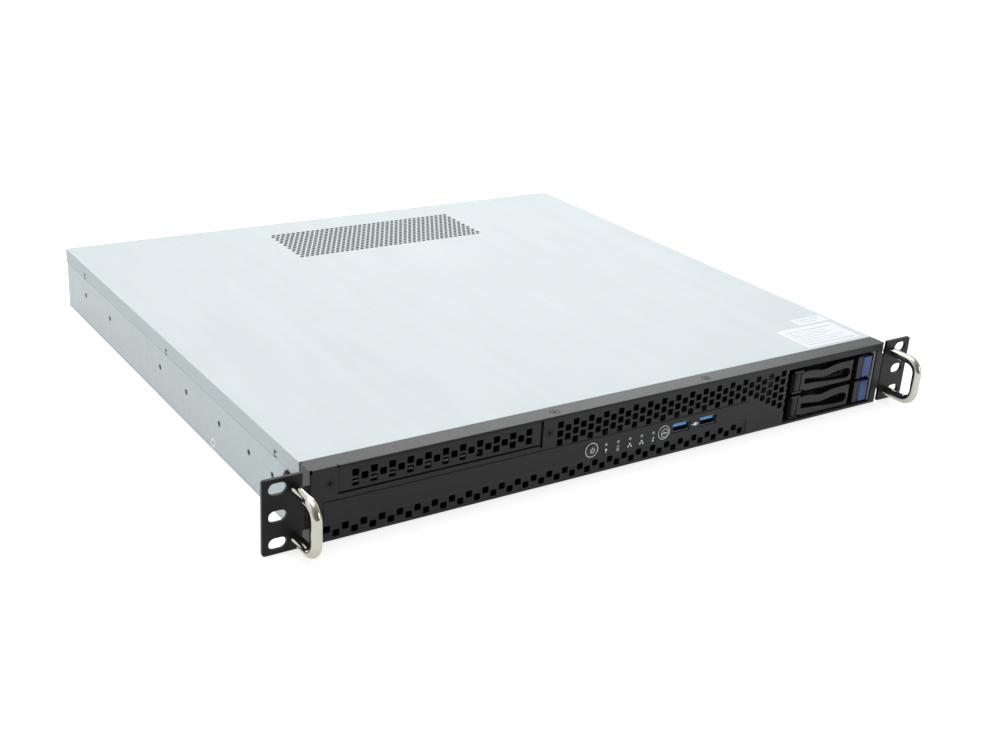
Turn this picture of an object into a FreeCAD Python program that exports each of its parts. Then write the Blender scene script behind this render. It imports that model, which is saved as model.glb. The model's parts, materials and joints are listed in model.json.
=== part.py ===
import FreeCAD, Part
import math
import os
import Sketcher

# One rack unit server, built as separate pieces.
# Row frame: X to the right seen from the front, Y to the rear, Z up.
# The origin is the centre of the underside of the bounding box.  Millimetres.

os.makedirs("parts", exist_ok=True)
doc = FreeCAD.newDocument("RackServer")
sheet = doc.addObject("Spreadsheet::Sheet", "Dims")
V = FreeCAD.Vector
ROWS = []


# ---------------------------------------------------------------- dimensions
class Q:
    """A length together with the sheet expression that drives it."""

    def __init__(self, v, e):
        self.v = float(v)
        self.e = e

    @staticmethod
    def of(o):
        if isinstance(o, Q):
            return o
        o = float(o)
        t = "%.6g" % o
        return Q(o, "(%s)" % t if o < 0 else t)

    def __add__(self, o):
        o = Q.of(o)
        return Q(self.v + o.v, "(%s + %s)" % (self.e, o.e))

    def __radd__(self, o):
        return Q.of(o) + self

    def __sub__(self, o):
        o = Q.of(o)
        return Q(self.v - o.v, "(%s - %s)" % (self.e, o.e))

    def __rsub__(self, o):
        return Q.of(o) - self

    def __mul__(self, o):
        o = Q.of(o)
        return Q(self.v * o.v, "(%s * %s)" % (self.e, o.e))

    def __rmul__(self, o):
        return Q.of(o) * self

    def __truediv__(self, o):
        o = Q.of(o)
        return Q(self.v / o.v, "(%s / %s)" % (self.e, o.e))

    def __neg__(self):
        return Q(0, "0") - self


def num(o):
    return o.v if isinstance(o, Q) else float(o)


def dim(alias, value, note):
    ROWS.append(alias)
    n = len(ROWS)
    sheet.set("A%d" % n, note)
    sheet.set("B%d" % n, "%.6g" % value)
    sheet.setAlias("B%d" % n, alias)
    return Q(value, "Dims.%s" % alias)


BW = dim("body_width", 430.0, "chassis width")
BH = dim("body_height", 43.7, "chassis height, one rack unit less its gap")
F = dim("front_plane", -187.5, "front face of the bezel")
R = dim("rear_plane", 214.5, "rear face of the cover flange")
ST = dim("sheet_gauge", 1.2, "zinc sheet of the tray")
CT = dim("cover_gauge", 1.0, "sheet of the top cover")
BT = dim("bezel_gauge", 1.0, "sheet of the front bezel")
BD = dim("bezel_depth", 12.9, "depth of the bezel shell")
SEAM = dim("seam_height", 33.4, "height of the seam between cover and tray")
RW = dim("rack_width", 482.6, "width over the rack ears")
SX = dim("slot_pitch_x", 465.1, "rack slot spacing across")
SZ = dim("slot_pitch_z", 15.875, "rack slot spacing up")
SM = dim("slot_middle_z", 21.83, "height of the middle rack slot")
SL = dim("slot_length", 10.4, "rack slot length")
SW = dim("slot_width", 6.9, "rack slot width")
ET = dim("ear_gauge", 2.0, "ear plate thickness")
EY = dim("ear_setback", 1.2, "ear face behind the bezel face")
EN = dim("ear_inner_x", 218.6, "inner edge of the ear plate")
HX = dim("handle_x", 223.0, "handle plane from the middle")
HR = dim("handle_rod_radius", 3.0, "handle rod radius")
HZ0 = dim("handle_low_z", 7.5, "lower handle leg")
HZ1 = dim("handle_high_z", 36.0, "upper handle leg")
HY = dim("handle_reach", 24.0, "handle bar centre in front of the bezel")
HB = dim("handle_bend", 8.5, "handle bend radius at the rod centre")
GP = dim("grid_pitch", 11.07, "pitch of the air hole columns")
GH = dim("grid_hole", 4.2, "side of a square air hole")
GC = dim("grid_corner", 0.8, "corner radius of an air hole")
BX0 = dim("bay_left", 128.0, "drive bay opening, left edge")
BX1 = dim("bay_right", 208.5, "drive bay opening, right edge")
BZ0 = dim("bay_low", 2.0, "drive bay opening, lower edge")
BZ1 = dim("bay_high", 39.5, "drive bay opening, upper edge")
KZ = dim("caddy_base", 2.5, "underside of the lower caddy")
KP = dim("caddy_pitch", 17.9, "rise from one caddy to the next")
KH = dim("caddy_height", 15.8, "caddy height")
KX0 = dim("caddy_left", 130.2, "left side of a caddy")
KX1 = dim("caddy_right", 207.4, "right side of a caddy")
KY = dim("caddy_setback", 1.6, "caddy face behind the bezel face")
DW = dim("drive_width", 69.85, "2.5 inch drive width")
DL = dim("drive_length", 100.2, "2.5 inch drive length")
DH = dim("drive_height", 9.5, "2.5 inch drive height")
LX = dim("lever_axis_x", 137.8, "caddy lever hinge line")
LR = dim("lever_barrel", 4.0, "caddy lever barrel radius")
PX = dim("power_x", -31.7, "power button")
RX = dim("reset_x", 23.6, "reset button")
CZ = dim("control_z", 16.7, "height of the control row")
BR = dim("button_radius", 3.6, "button cap radius")
VP = dim("vent_pitch", 4.2, "top vent hole pitch")
VR = dim("vent_radius", 1.55, "top vent hole radius")
FS = dim("fan_side", 40.0, "fan frame side")
FD = dim("fan_depth", 28.0, "fan frame depth")
FY = dim("fan_front", 125.0, "fan frames behind the bezel face")
MW = dim("board_side", 244.0, "motherboard side")
MX = dim("board_left", -101.0, "motherboard left edge")
MT = dim("board_gauge", 1.6, "circuit board thickness")
MH = dim("standoff_height", 5.0, "standoff height")
UW = dim("psu_width", 100.0, "power supply width")
UH = dim("psu_height", 40.0, "power supply height")
UD = dim("psu_depth", 190.0, "power supply depth")
UX = dim("psu_left", -211.0, "power supply left side")
SLX0 = dim("slim_left", -198.0, "slim bay panel, left edge")
SLX1 = dim("slim_right", -69.8, "slim bay panel, right edge")
doc.recompute()


# ---------------------------------------------------------------- helpers
NODES = {}


def keep(obj, label):
    obj.Label = label
    NODES[label] = obj
    return obj


def bind(obj, prop, val):
    if isinstance(val, Q):
        obj.setExpression(prop, val.e)


def place(obj, x, y, z, axis=None, angle=0.0):
    rot = FreeCAD.Rotation(V(*axis), angle) if axis else FreeCAD.Rotation()
    obj.Placement = FreeCAD.Placement(V(num(x), num(y), num(z)), rot)
    bind(obj, "Placement.Base.x", x)
    bind(obj, "Placement.Base.y", y)
    bind(obj, "Placement.Base.z", z)
    return obj


def box(name, x0, x1, y0, y1, z0, z1):
    o = doc.addObject("Part::Box", name)
    for prop, lo, hi in (("Length", x0, x1), ("Width", y0, y1), ("Height", z0, z1)):
        d = hi - lo if isinstance(hi, Q) or isinstance(lo, Q) else Q.of(hi - lo)
        setattr(o, prop, d.v)
        if "Dims" in d.e:
            bind(o, prop, d)
    return place(o, x0, y0, z0)


AXES = {"z": (None, 0), "x": ((0, 1, 0), 90), "y": ((1, 0, 0), -90)}


def cyl(name, r, length, x, y, z, axis="z"):
    """Cylinder that starts at x, y, z and runs along +axis."""
    o = doc.addObject("Part::Cylinder", name)
    o.Radius = num(r)
    o.Height = num(length)
    bind(o, "Radius", r)
    bind(o, "Height", length)
    a, g = AXES[axis]
    return place(o, x, y, z, a, g)


def cone(name, r1, r2, length, x, y, z, axis="z"):
    o = doc.addObject("Part::Cone", name)
    o.Radius1 = num(r1)
    o.Radius2 = num(r2)
    o.Height = num(length)
    a, g = AXES[axis]
    return place(o, x, y, z, a, g)


def fuse(name, objs):
    o = doc.addObject("Part::MultiFuse", name)
    o.Shapes = objs
    o.Refine = True
    return o


def comp(name, objs):
    o = doc.addObject("Part::Compound", name)
    o.Links = objs
    return o


def cut(name, base, tools, overlap=False):
    o = doc.addObject("Part::Cut", name)
    o.Base = base
    if len(tools) == 1:
        o.Tool = tools[0]
    else:
        o.Tool = (fuse if overlap else comp)(name + "_tools", tools)
    o.Refine = True
    return o


def feature(name, shape):
    o = doc.addObject("Part::Feature", name)
    o.Shape = shape
    return o


def rounded_wire(cx, cz, half_x, half_z, rad, y, plane="XZ"):
    """Rounded rectangle wire in the plane at height y of its normal."""
    k = rad * (1 - math.sqrt(0.5))
    hx, hz, r = half_x, half_z, rad
    p = [(-hx + r, -hz), (hx - r, -hz), (hx - k, -hz + k), (hx, -hz + r), (hx, hz - r),
         (hx - k, hz - k), (hx - r, hz), (-hx + r, hz), (-hx + k, hz - k), (-hx, hz - r),
         (-hx, -hz + r), (-hx + k, -hz + k)]

    def w(q):
        a, b = cx + q[0], cz + q[1]
        return V(a, y, b) if plane == "XZ" else (V(a, b, y) if plane == "XY" else V(y, a, b))
    q = [w(t) for t in p]
    e = [Part.LineSegment(q[0], q[1]).toShape(), Part.Arc(q[1], q[2], q[3]).toShape(),
         Part.LineSegment(q[3], q[4]).toShape(), Part.Arc(q[4], q[5], q[6]).toShape(),
         Part.LineSegment(q[6], q[7]).toShape(), Part.Arc(q[7], q[8], q[9]).toShape(),
         Part.LineSegment(q[9], q[10]).toShape(), Part.Arc(q[10], q[11], q[0]).toShape()]
    return Part.Wire(e)


def sheet_with_holes(outer, holes, direction):
    """Flat sheet: outer wire with hole wires, extruded."""
    face = Part.Face([outer] + holes)
    if face.Area < 0:
        face.reverse()
    f2 = Part.makeFace([outer] + holes, "Part::FaceMakerBullseye")
    return f2.extrude(direction)


def rect_wire(x0, x1, z0, z1, y, plane="XZ"):
    pts = [(x0, z0), (x1, z0), (x1, z1), (x0, z1), (x0, z0)]
    if plane == "XZ":
        return Part.makePolygon([V(a, y, b) for a, b in pts])
    return Part.makePolygon([V(a, b, y) for a, b in pts])


def body(name):
    return doc.addObject("PartDesign::Body", name)


ROLE = {"XY": "XY_Plane", "XZ": "XZ_Plane", "YZ": "YZ_Plane"}


def sketch(b, plane, at):
    sk = b.newObject("Sketcher::SketchObject", b.Name + "_sk")
    org = [f for f in b.Origin.OriginFeatures if f.Role == ROLE[plane]][0]
    sk.AttachmentSupport = [(org, "")]
    sk.MapMode = "FlatFace"
    off = -at if plane == "XZ" else at
    sk.AttachmentOffset = FreeCAD.Placement(V(0, 0, num(off)), FreeCAD.Rotation())
    if isinstance(off, Q):
        bind(sk, "AttachmentOffset.Base.z", off)
    return sk


def fix_point(sk, gid, pos, x, y):
    for kind, val in (("DistanceX", x), ("DistanceY", y)):
        c = sk.addConstraint(Sketcher.Constraint(kind, -1, 1, gid, pos, num(val)))
        if isinstance(val, Q):
            sk.setExpression("Constraints[%d]" % c, val.e)


def draw(sk, wires):
    for w in wires:
        kind = w[0]
        if kind == "poly":
            pts = w[1]
            n = len(pts)
            first = sk.GeometryCount
            for i in range(n):
                a, b = pts[i], pts[(i + 1) % n]
                sk.addGeometry(Part.LineSegment(V(num(a[0]), num(a[1]), 0), V(num(b[0]), num(b[1]), 0)), False)
            for i in range(n):
                sk.addConstraint(Sketcher.Constraint("Coincident", first + i, 2, first + (i + 1) % n, 1))
            for i in range(n):
                fix_point(sk, first + i, 1, pts[i][0], pts[i][1])
        elif kind == "circ":
            _, cx, cy, r = w
            g = sk.addGeometry(Part.Circle(V(num(cx), num(cy), 0), V(0, 0, 1), num(r)), False)
            fix_point(sk, g, 3, cx, cy)
            c = sk.addConstraint(Sketcher.Constraint("Radius", g, num(r)))
            if isinstance(r, Q):
                sk.setExpression("Constraints[%d]" % c, r.e)
        elif kind == "slot":
            _, cx, cy, ln, wd = w
            h, r = (ln - wd) / 2, wd / 2
            X, Y, H_, R_ = num(cx), num(cy), num(h), num(r)
            a0 = sk.addGeometry(Part.ArcOfCircle(Part.Circle(V(X - H_, Y, 0), V(0, 0, 1), R_), math.pi / 2, 3 * math.pi / 2), False)
            a1 = sk.addGeometry(Part.ArcOfCircle(Part.Circle(V(X + H_, Y, 0), V(0, 0, 1), R_), -math.pi / 2, math.pi / 2), False)
            l0 = sk.addGeometry(Part.LineSegment(V(X - H_, Y - R_, 0), V(X + H_, Y - R_, 0)), False)
            l1 = sk.addGeometry(Part.LineSegment(V(X + H_, Y + R_, 0), V(X - H_, Y + R_, 0)), False)
            for p, q, s, t in ((a0, 2, l0, 1), (l0, 2, a1, 1), (a1, 2, l1, 1), (l1, 2, a0, 1)):
                sk.addConstraint(Sketcher.Constraint("Tangent", p, q, s, t))
            fix_point(sk, a0, 3, cx - h, cy)
            fix_point(sk, a1, 3, cx + h, cy)
            c = sk.addConstraint(Sketcher.Constraint("Radius", a0, R_))
            if isinstance(r, Q):
                sk.setExpression("Constraints[%d]" % c, r.e)


def pad(b, plane, lo, hi, wires):
    at = hi if plane == "XZ" else lo
    sk = sketch(b, plane, at if isinstance(at, Q) else Q.of(at))
    draw(sk, wires)
    p = b.newObject("PartDesign::Pad", b.Name + "_pad")
    p.Profile = sk
    d = Q.of(hi) - Q.of(lo)
    p.Length = d.v
    if "Dims" in d.e:
        bind(p, "Length", d)
    doc.recompute()
    sk.Visibility = False
    return p


def pocket(b, plane, lo, hi, wires):
    at = lo if plane == "XZ" else hi
    before = b.Shape.Volume
    sk = sketch(b, plane, at if isinstance(at, Q) else Q.of(at))
    draw(sk, wires)
    p = b.newObject("PartDesign::Pocket", b.Name + "_pocket")
    p.Profile = sk
    d = Q.of(hi) - Q.of(lo)
    p.Length = d.v
    if "Dims" in d.e:
        bind(p, "Length", d)
    doc.recompute()
    if not b.Shape.Volume < before - 1e-6:
        raise RuntimeError("%s cuts nothing" % p.Name)
    return p


def revolve(b, pts, plane="XZ", vertical=True):
    """Turned solid: profile given as radius, height about the vertical sketch axis."""
    sk = sketch(b, plane, Q.of(0))
    draw(sk, [("poly", pts)])
    r = b.newObject("PartDesign::Revolution", b.Name + "_turn")
    r.Profile = sk
    r.ReferenceAxis = (sk, ["V_Axis"])
    r.Angle = 360
    doc.recompute()
    return r


def fillet_edges(b, pred, radius, kind="PartDesign::Fillet"):
    base = b.Tip
    names = ["Edge%d" % (i + 1) for i, e in enumerate(base.Shape.Edges) if pred(e)]
    if not names:
        raise RuntimeError("no edge to round on %s" % b.Name)
    f = b.newObject(kind, b.Name + "_round")
    f.Base = (base, names)
    if kind.endswith("Fillet"):
        f.Radius = radius
    else:
        f.Size = radius
    doc.recompute()
    return f


def straight(e, axis):
    d = e.Vertexes[-1].Point - e.Vertexes[0].Point if len(e.Vertexes) > 1 else V(0, 0, 0)
    if d.Length < 1e-6:
        return False
    return abs(abs(getattr(d, axis)) / d.Length - 1) < 1e-6


def copies(label, master, places):
    """One group node: the same piece at several places."""
    out = []
    for p in places:
        s = master.Shape.copy()
        s.Placement = p.multiply(master.Shape.Placement)
        out.append(s)
    return keep(feature(label, Part.makeCompound(out)), label)


def at(x, y, z, axis=None, angle=0.0):
    rot = FreeCAD.Rotation(V(*axis), angle) if axis else FreeCAD.Rotation()
    return FreeCAD.Placement(V(num(x), num(y), num(z)), rot)


# head-forward axes: a screw is drawn pointing down -Z from a head at Z = 0
UP = (None, 0)
TO_FRONT = ((1, 0, 0), 90)     # head faces -Y
TO_REAR = ((1, 0, 0), -90)     # head faces +Y
TO_RIGHT = ((0, 1, 0), 90)     # head faces +X
TO_LEFT = ((0, 1, 0), -90)     # head faces -X


def screw(name, head_r, head_h, shank_r, length, sunk, cross=0.0):
    """Machine screw, head face at Z = 0, shank down.  sunk: countersunk head, else pan head above Z = 0."""
    b = body(name)
    if sunk:
        pts = [(0, 0), (head_r, 0), (shank_r, -head_h), (shank_r, -length), (0, -length)]
    else:
        pts = [(0, head_h), (head_r * 0.72, head_h), (head_r, head_h * 0.45), (head_r, 0), (shank_r, 0),
               (shank_r, -length), (0, -length)]
    revolve(b, pts)
    if cross:
        top = 0 if sunk else head_h
        w, l = cross * 0.16, cross
        pocket(b, "XY", top - min(1.0, head_h * 0.6), top,
               [("poly", [(-l, -w), (-w, -w), (-w, -l), (w, -l), (w, -w), (l, -w), (l, w), (w, w), (w, l), (-w, l), (-w, w), (-l, w)])])
    return b


# ---------------------------------------------------------------- tray
H = BW / 2
WI = H - ST                 # inner face of the lower side wall
LO = H - 1.5                # outer face of the joggled lip under the cover
LI = LO - ST
LT = BH - CT - 0.2          # top of the lip
TY = F + BD + 0.2           # front edge of the tray walls
TR = R - 1.4                # rear face of the rear wall

tray = body("chassis_tray")
keep(tray, "chassis_tray")
pad(tray, "XZ", TY, TR, [("poly", [
    (-H, 0), (H, 0), (H, SEAM), (LO, SEAM), (LO, LT), (LI, LT), (LI, SEAM - ST), (WI, SEAM - ST), (WI, ST),
    (-WI, ST), (-WI, SEAM - ST), (-LI, SEAM - ST), (-LI, LT), (-LO, LT), (-LO, SEAM), (-H, SEAM)])])
pad(tray, "XZ", TR - ST, TR, [("poly", [
    (-H, 0), (H, 0), (H, SEAM), (LO, SEAM), (LO, LT), (-LO, LT), (-LO, SEAM), (-H, SEAM)])])
# joggled tongue under the bezel and the cross bar under its top strip
pad(tray, "XY", 1.1, 1.9, [("poly", [(-213, F + 2), (213, F + 2), (213, F + 16), (-213, F + 16)])])
pad(tray, "XY", LT - ST, LT, [("poly", [(-LO, F + 2.5), (LO, F + 2.5), (LO, F + 26), (-LO, F + 26)])])
HOOKS = [42.0, 202.0, 360.0]
for sgn in (-1, 1):
    x0, x1 = (H - 1.7, H - 0.3) if sgn > 0 else (-(H - 0.3), -(H - 1.7))
    pad(tray, "XY", 34.2, 36.0, [("poly", [(x0, F + y - 1.1), (x1, F + y - 1.1), (x1, F + y + 1.1), (x0, F + y + 1.1)]) for y in HOOKS])
RAIL_HOLES = [46.0, 77.0, 119.0, 170.0, 214.0, 309.0, 360.0]
EAR_SCREWS = [(26.0, 29.0), (26.0, 15.5)]
SIDE_SCREW = (128.6, 4.7)
pocket(tray, "YZ", -(H + 1), H + 1,
       [("circ", F + y, 21.0, 1.9) for y in RAIL_HOLES]
       + [("circ", F + y, z, 1.7) for y, z in EAR_SCREWS]
       + [("circ", F + SIDE_SCREW[0], SIDE_SCREW[1], 3.3)])
TOP_SCREWS = [(-56.5, 6.0), (59.5, 6.0)]
pocket(tray, "XY", LT - 2, LT + 1, [("circ", x, F + y, 1.6) for x, y in TOP_SCREWS])
# rear openings: power supply, port shield, expansion slot, air holes
IOX0, IOX1 = MX + 2, MX + 160.75
rear_air = []
for j in range(8):
    for i in range(6):
        rear_air.append(("circ", 65.5 + 4.4 * i + (2.2 if j % 2 else 0), 7.0 + 3.81 * j, 1.5))
pocket(tray, "XZ", TR - ST - 1, TR + 1, [
    ("poly", [(UX + 3, 3.5), (UX + UW - 3, 3.5), (UX + UW - 3, 39), (UX + 3, 39)]),
    ("poly", [(IOX0, 6.5), (IOX1, 6.5), (IOX1, 40), (IOX0, 40)]),
    ("poly", [(98, 23), (207, 23), (207, 38.5), (98, 38.5)])] + rear_air)
REAR_SCREWS = [-210.5, -107.0, 80.0, 210.5]
RSZ = 39.8
pocket(tray, "XZ", TR - ST - 1, TR + 1, [("circ", x, RSZ, 1.3) for x in REAR_SCREWS])

# ---------------------------------------------------------------- top cover
vent = []
vh = num(VP) * math.sqrt(3) / 2
for j in range(16):
    for i in range(38):
        cx = -64.6 + num(VP) * i + (num(VP) / 2 if j % 2 else 0)
        cy = num(F) + 319.2 + vh * j
        if cx < 93.2:
            vent.append(Part.Wire(Part.makeCircle(num(VR), V(cx, cy, num(BH) - num(CT)))))
zc = num(BH) - num(CT)
cover_plate = feature("cover_plate", sheet_with_holes(
    rect_wire(-num(H), num(H), num(TY), num(R), zc, "XY"), vent, V(0, 0, num(CT))))
cl = box("cover_left_flange", -H, -H + CT, TY, R, SEAM + 0.2, BH)
cr = box("cover_right_flange", H - CT, H, TY, R, SEAM + 0.2, BH)
cb = box("cover_rear_flange", -H, H, R - CT, R, 36.0, BH)
cover_rim = fuse("cover_rim", [cl, cr, cb])
tools = []
for sgn in (-1, 1):
    for k, y in enumerate(HOOKS):
        a, b_ = (H - 1.4, H + 1) if sgn > 0 else (-H - 1, -H + 1.4)
        tools.append(box("hook_slot_%d_%d" % (sgn + 1, k), a, b_, F + y - 1.7, F + y + 1.7, SEAM - 1, 37.8))
for k, x in enumerate(REAR_SCREWS):
    tools.append(cyl("rear_hole_%d" % k, 2.5, 3, x, R - 2, RSZ, "y"))
keep(fuse("top_cover_sheet", [cover_plate, cut("cover_rim_cut", cover_rim, tools)]), "top_cover")

# ---------------------------------------------------------------- bezel
blk = box("bezel_block", -H, H, F, F + BD, 0, BH)
doc.recompute()
rounds = []
for i, e in enumerate(blk.Shape.Edges):
    c = e.CenterOfMass
    if abs(c.y - num(F)) < 1e-3:
        if straight(e, "z"):
            rounds.append((i + 1, 2.0, 2.0) if c.x > 0 else (i + 1, 0.5, 0.5))
        elif c.z > 20:
            rounds.append((i + 1, 1.0, 1.0))
        else:
            rounds.append((i + 1, 1.0, 1.0))
bf = doc.addObject("Part::Fillet", "bezel_block_round")
bf.Base = blk
bf.Edges = rounds
hollow = box("bezel_hollow", -H + BT, H - BT, F + BT, F + BD + 1, BT, BH - BT)
bshell = cut("bezel_shell", bf, [hollow])
# raised control band with bevelled edges
band = [(-207.5, 10.9), (92.5, 10.9), (92.5, 1.6), (122.8, 1.6), (122.8, 4.6), (92.5, 24.2), (-207.5, 24.2)]
BANDT = 0.5
fy = num(F)
band_face = Part.Face(Part.makePolygon([V(x, fy + 0.5, z) for x, z in band + band[:1]]))
band_solid = band_face.extrude(V(0, -0.5 - BANDT, 0))
edges = [e for e in band_solid.Edges if abs(e.Vertexes[0].Point.y - (fy - BANDT)) < 1e-6 and abs(e.Vertexes[1].Point.y - (fy - BANDT)) < 1e-6]
band_solid = band_solid.makeChamfer(0.4, edges)
band_obj = feature("control_band", band_solid)


def columns(kind, ks, zs):
    x0 = -0.3 if kind == "A" else -0.3 + num(GP) / 2
    return [(x0 + num(GP) * k, z) for k in ks for z in zs]


holes = columns("A", range(-5, 10), [37.9, 32.3, 26.7])
holes += columns("B", range(-5, 9), [35.1, 29.5])
holes += columns("B", [9], [35.1, 29.5, 23.9])
holes += columns("A", [10], [37.9, 32.3, 26.7, 21.1])
holes += columns("B", [10], [35.1, 29.5, 23.9, 18.3])
holes += columns("A", [11], [37.9, 32.3, 26.7, 21.1, 15.5])
holes += columns("B", range(-19, 8), [7.6])
holes += columns("A", range(-18, 9), [4.5])
gh = num(GH) / 2
grid = Part.makeCompound([Part.Face(rounded_wire(x, z, gh, gh, num(GC), fy - 2)).extrude(V(0, 5, 0)) for x, z in holes])
grid_obj = feature("air_hole_grid", grid)
# drive bay edge turned inwards with a soft bend
ri, ro = 2.0, 3.0
bx = num(BX0)
c45 = math.sqrt(0.5)
prof = Part.Wire([
    Part.LineSegment(V(123.9, fy, 0), V(bx - ro, fy, 0)).toShape(),
    Part.Arc(V(bx - ro, fy, 0), V(bx - ro + ro * c45, fy + ro - ro * c45, 0), V(bx, fy + ro, 0)).toShape(),
    Part.LineSegment(V(bx, fy + ro, 0), V(bx, fy + 12, 0)).toShape(),
    Part.LineSegment(V(bx, fy + 12, 0), V(bx - 1, fy + 12, 0)).toShape(),
    Part.LineSegment(V(bx - 1, fy + 12, 0), V(bx - 1, fy + ro, 0)).toShape(),
    Part.Arc(V(bx - 1, fy + ro, 0), V(bx - ro + ri * c45, fy + ro - ri * c45, 0), V(bx - ro, fy + 1, 0)).toShape(),
    Part.LineSegment(V(bx - ro, fy + 1, 0), V(123.9, fy + 1, 0)).toShape(),
    Part.LineSegment(V(123.9, fy + 1, 0), V(123.9, fy, 0)).toShape()])
ret = Part.Face(prof).extrude(V(0, 0, num(BZ1) - num(BZ0) + 0.2))
ret.translate(V(0, 0, num(BZ0)))
ret_obj = feature("bay_edge_bend", ret)
bay_cut = box("bay_opening", 124.0, BX1, F - 2, F + BT + 2, BZ0, BZ1)
b1 = cut("bezel_bay", bshell, [bay_cut])
b2 = fuse("bezel_joined", [b1, ret_obj, band_obj])
bt = [grid_obj]
for k, z in enumerate([35.1, 29.5, 23.9, 18.3, 12.7]):
    bt.append(box("bend_hole_%d" % k, 125.0, BX0 + 1, F - 1, F + 3.4, z - 2.1, z + 2.1))
bt.append(box("slim_opening", SLX0 - 0.6, SLX1 + 1.8, F - 2, F + BT + 1, 27.1, BH - BT))
bt.append(box("slim_gap_tail", SLX1 + 0.2, SLX1 + 1.8, F - 2, F + BT + 1, 25.8, 27.1))
bt.append(cyl("power_hole", BR + 0.35, 4, PX, F - 2, CZ, "y"))
bt.append(cyl("reset_hole", BR + 0.35, 4, RX, F - 2, CZ, "y"))
LEDX = [-21.1, -12.0, -3.0, 6.1, 15.2]
LEDZ = 18.2
for k, x in enumerate(LEDX):
    bt.append(cyl("led_hole_%d" % k, 1.15, 4, x, F - 2, LEDZ, "y"))
USBX = [37.4, 59.2]
USBZ = 17.7
for k, x in enumerate(USBX):
    bt.append(box("usb_hole_%d" % k, x - 6.95, x + 6.95, F - 2, F + 3, USBZ - 3.15, USBZ + 3.15))
for sgn in (-1, 1):
    a, b_ = (H - 1.5, H + 1) if sgn > 0 else (-H - 1, -H + 1.5)
    bt.append(box("ear_slot_%d" % (sgn + 1), a, b_, F + BT, F + EY + ET + 0.3, 9.7, 34.8))
for k, (x, y) in enumerate(TOP_SCREWS):
    bt.append(cone("top_sink_%d" % k, 1.6, 3.25, 1.65, x, F + y, BH - 1.6))
SLIM_SCREWS = [(-203.7, 34.5), (-63.5, 34.2)]
for k, (x, z) in enumerate(SLIM_SCREWS):
    o = cone("slim_sink_%d" % k, 2.95, 1.6, 1.2, x, F - 0.05, z, "y")
    bt.append(o)
for k, (x, y) in enumerate([(-214.2, 0.7), (-214.2, 12.2), (214.2, 12.2)]):
    bt.append(cyl("corner_relief_%d" % k, 0.85, 3, x, F + y, BH - 2))
bt.append(cyl("slim_relief", 0.8, 3, SLX0 - 0.5, F - 1, 43.0, "y"))
doc.recompute()
bez = feature("front_bezel_shell", b2.Shape.cut([o.Shape for o in bt]).removeSplitter())
keep(bez, "front_bezel")

# ---------------------------------------------------------------- ears and handles
for sgn, side in ((-1, "left"), (1, "right")):
    s = (lambda v: v) if sgn > 0 else (lambda v: -v)
    ear = body(side + "_ear")
    keep(ear, side + "_ear")
    fl = WI - 0.2            # outer face of the flange inside the tray wall
    XO = RW / 2
    pad(ear, "XZ", F + EY, F + EY + ET, [("poly", [
        (s(fl - 1.5), 10.0), (s(EN), 10.0), (s(EN), 0), (s(XO), 0), (s(XO), BH), (s(EN), BH), (s(EN), 34.5), (s(fl - 1.5), 34.5)])])
    fillet_edges(ear, lambda e: straight(e, "y") and abs(abs(e.CenterOfMass.x) - num(XO)) < 0.01, 1.6)
    pad(ear, "XZ", F + EY, F + 42, [("poly", [
        (s(fl - 1.5), 10.0), (s(fl), 10.0), (s(fl), 31.8), (s(fl - 1.5), 31.8)])])
    pocket(ear, "XZ", F + EY - 1, F + EY + ET + 1,
           [("slot", s(SX / 2), SM + d * SZ, SL, SW) for d in (-1, 0, 1)]
           + [("circ", s(HX), z, 2.1) for z in (HZ0, HZ1)])
    pocket(ear, "XZ", F + EY - 1, F + EY + 0.5, [("poly", [
        (s(216.6), 9), (s(217.4), 9), (s(217.4), 36), (s(216.6), 36)])])
    a, b_ = (fl - 3, fl + 2) if sgn > 0 else (-fl - 2, -fl + 3)
    pocket(ear, "YZ", a, b_, [("circ", F + y, z, 1.6) for y, z in EAR_SCREWS])

    x = s(HX)
    yb = F - HY
    yl = F - HY + HB
    legs = [cyl("%s_leg_%d" % (side, i), HR, (F + EY - 0.02) - yl, x, yl, z, "y") for i, z in enumerate((HZ0, HZ1))]
    bar = cyl("%s_bar" % side, HR, HZ1 - HZ0 - 2 * HB, x, yb, HZ0 + HB, "z")
    bends = []
    for i, (z, rot) in enumerate(((HZ0 + HB, FreeCAD.Rotation(V(0, -1, 0), V(0, 0, -1), V(1, 0, 0), "XYZ")),
                                  (HZ1 - HB, FreeCAD.Rotation(V(0, 0, 1), V(0, -1, 0), V(1, 0, 0), "XYZ")))):
        t = doc.addObject("Part::Torus", "%s_bend_%d" % (side, i))
        t.Radius1 = num(HB)
        t.Radius2 = num(HR)
        t.Angle3 = 90
        bind(t, "Radius1", HB)
        bind(t, "Radius2", HR)
        t.Placement = FreeCAD.Placement(V(num(x), num(yl), num(z)), rot)
        bind(t, "Placement.Base.x", x)
        bind(t, "Placement.Base.y", yl)
        bind(t, "Placement.Base.z", z)
        bends.append(t)
    rod = fuse("%s_rod" % side, legs + bends + [bar])
    taps = [cyl("%s_tap_%d" % (side, i), 2.1, 9, x, F + EY - 8, z, "y") for i, z in enumerate((HZ0, HZ1))]
    keep(cut("%s_handle_rod" % side, rod, taps), side + "_handle")

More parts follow.
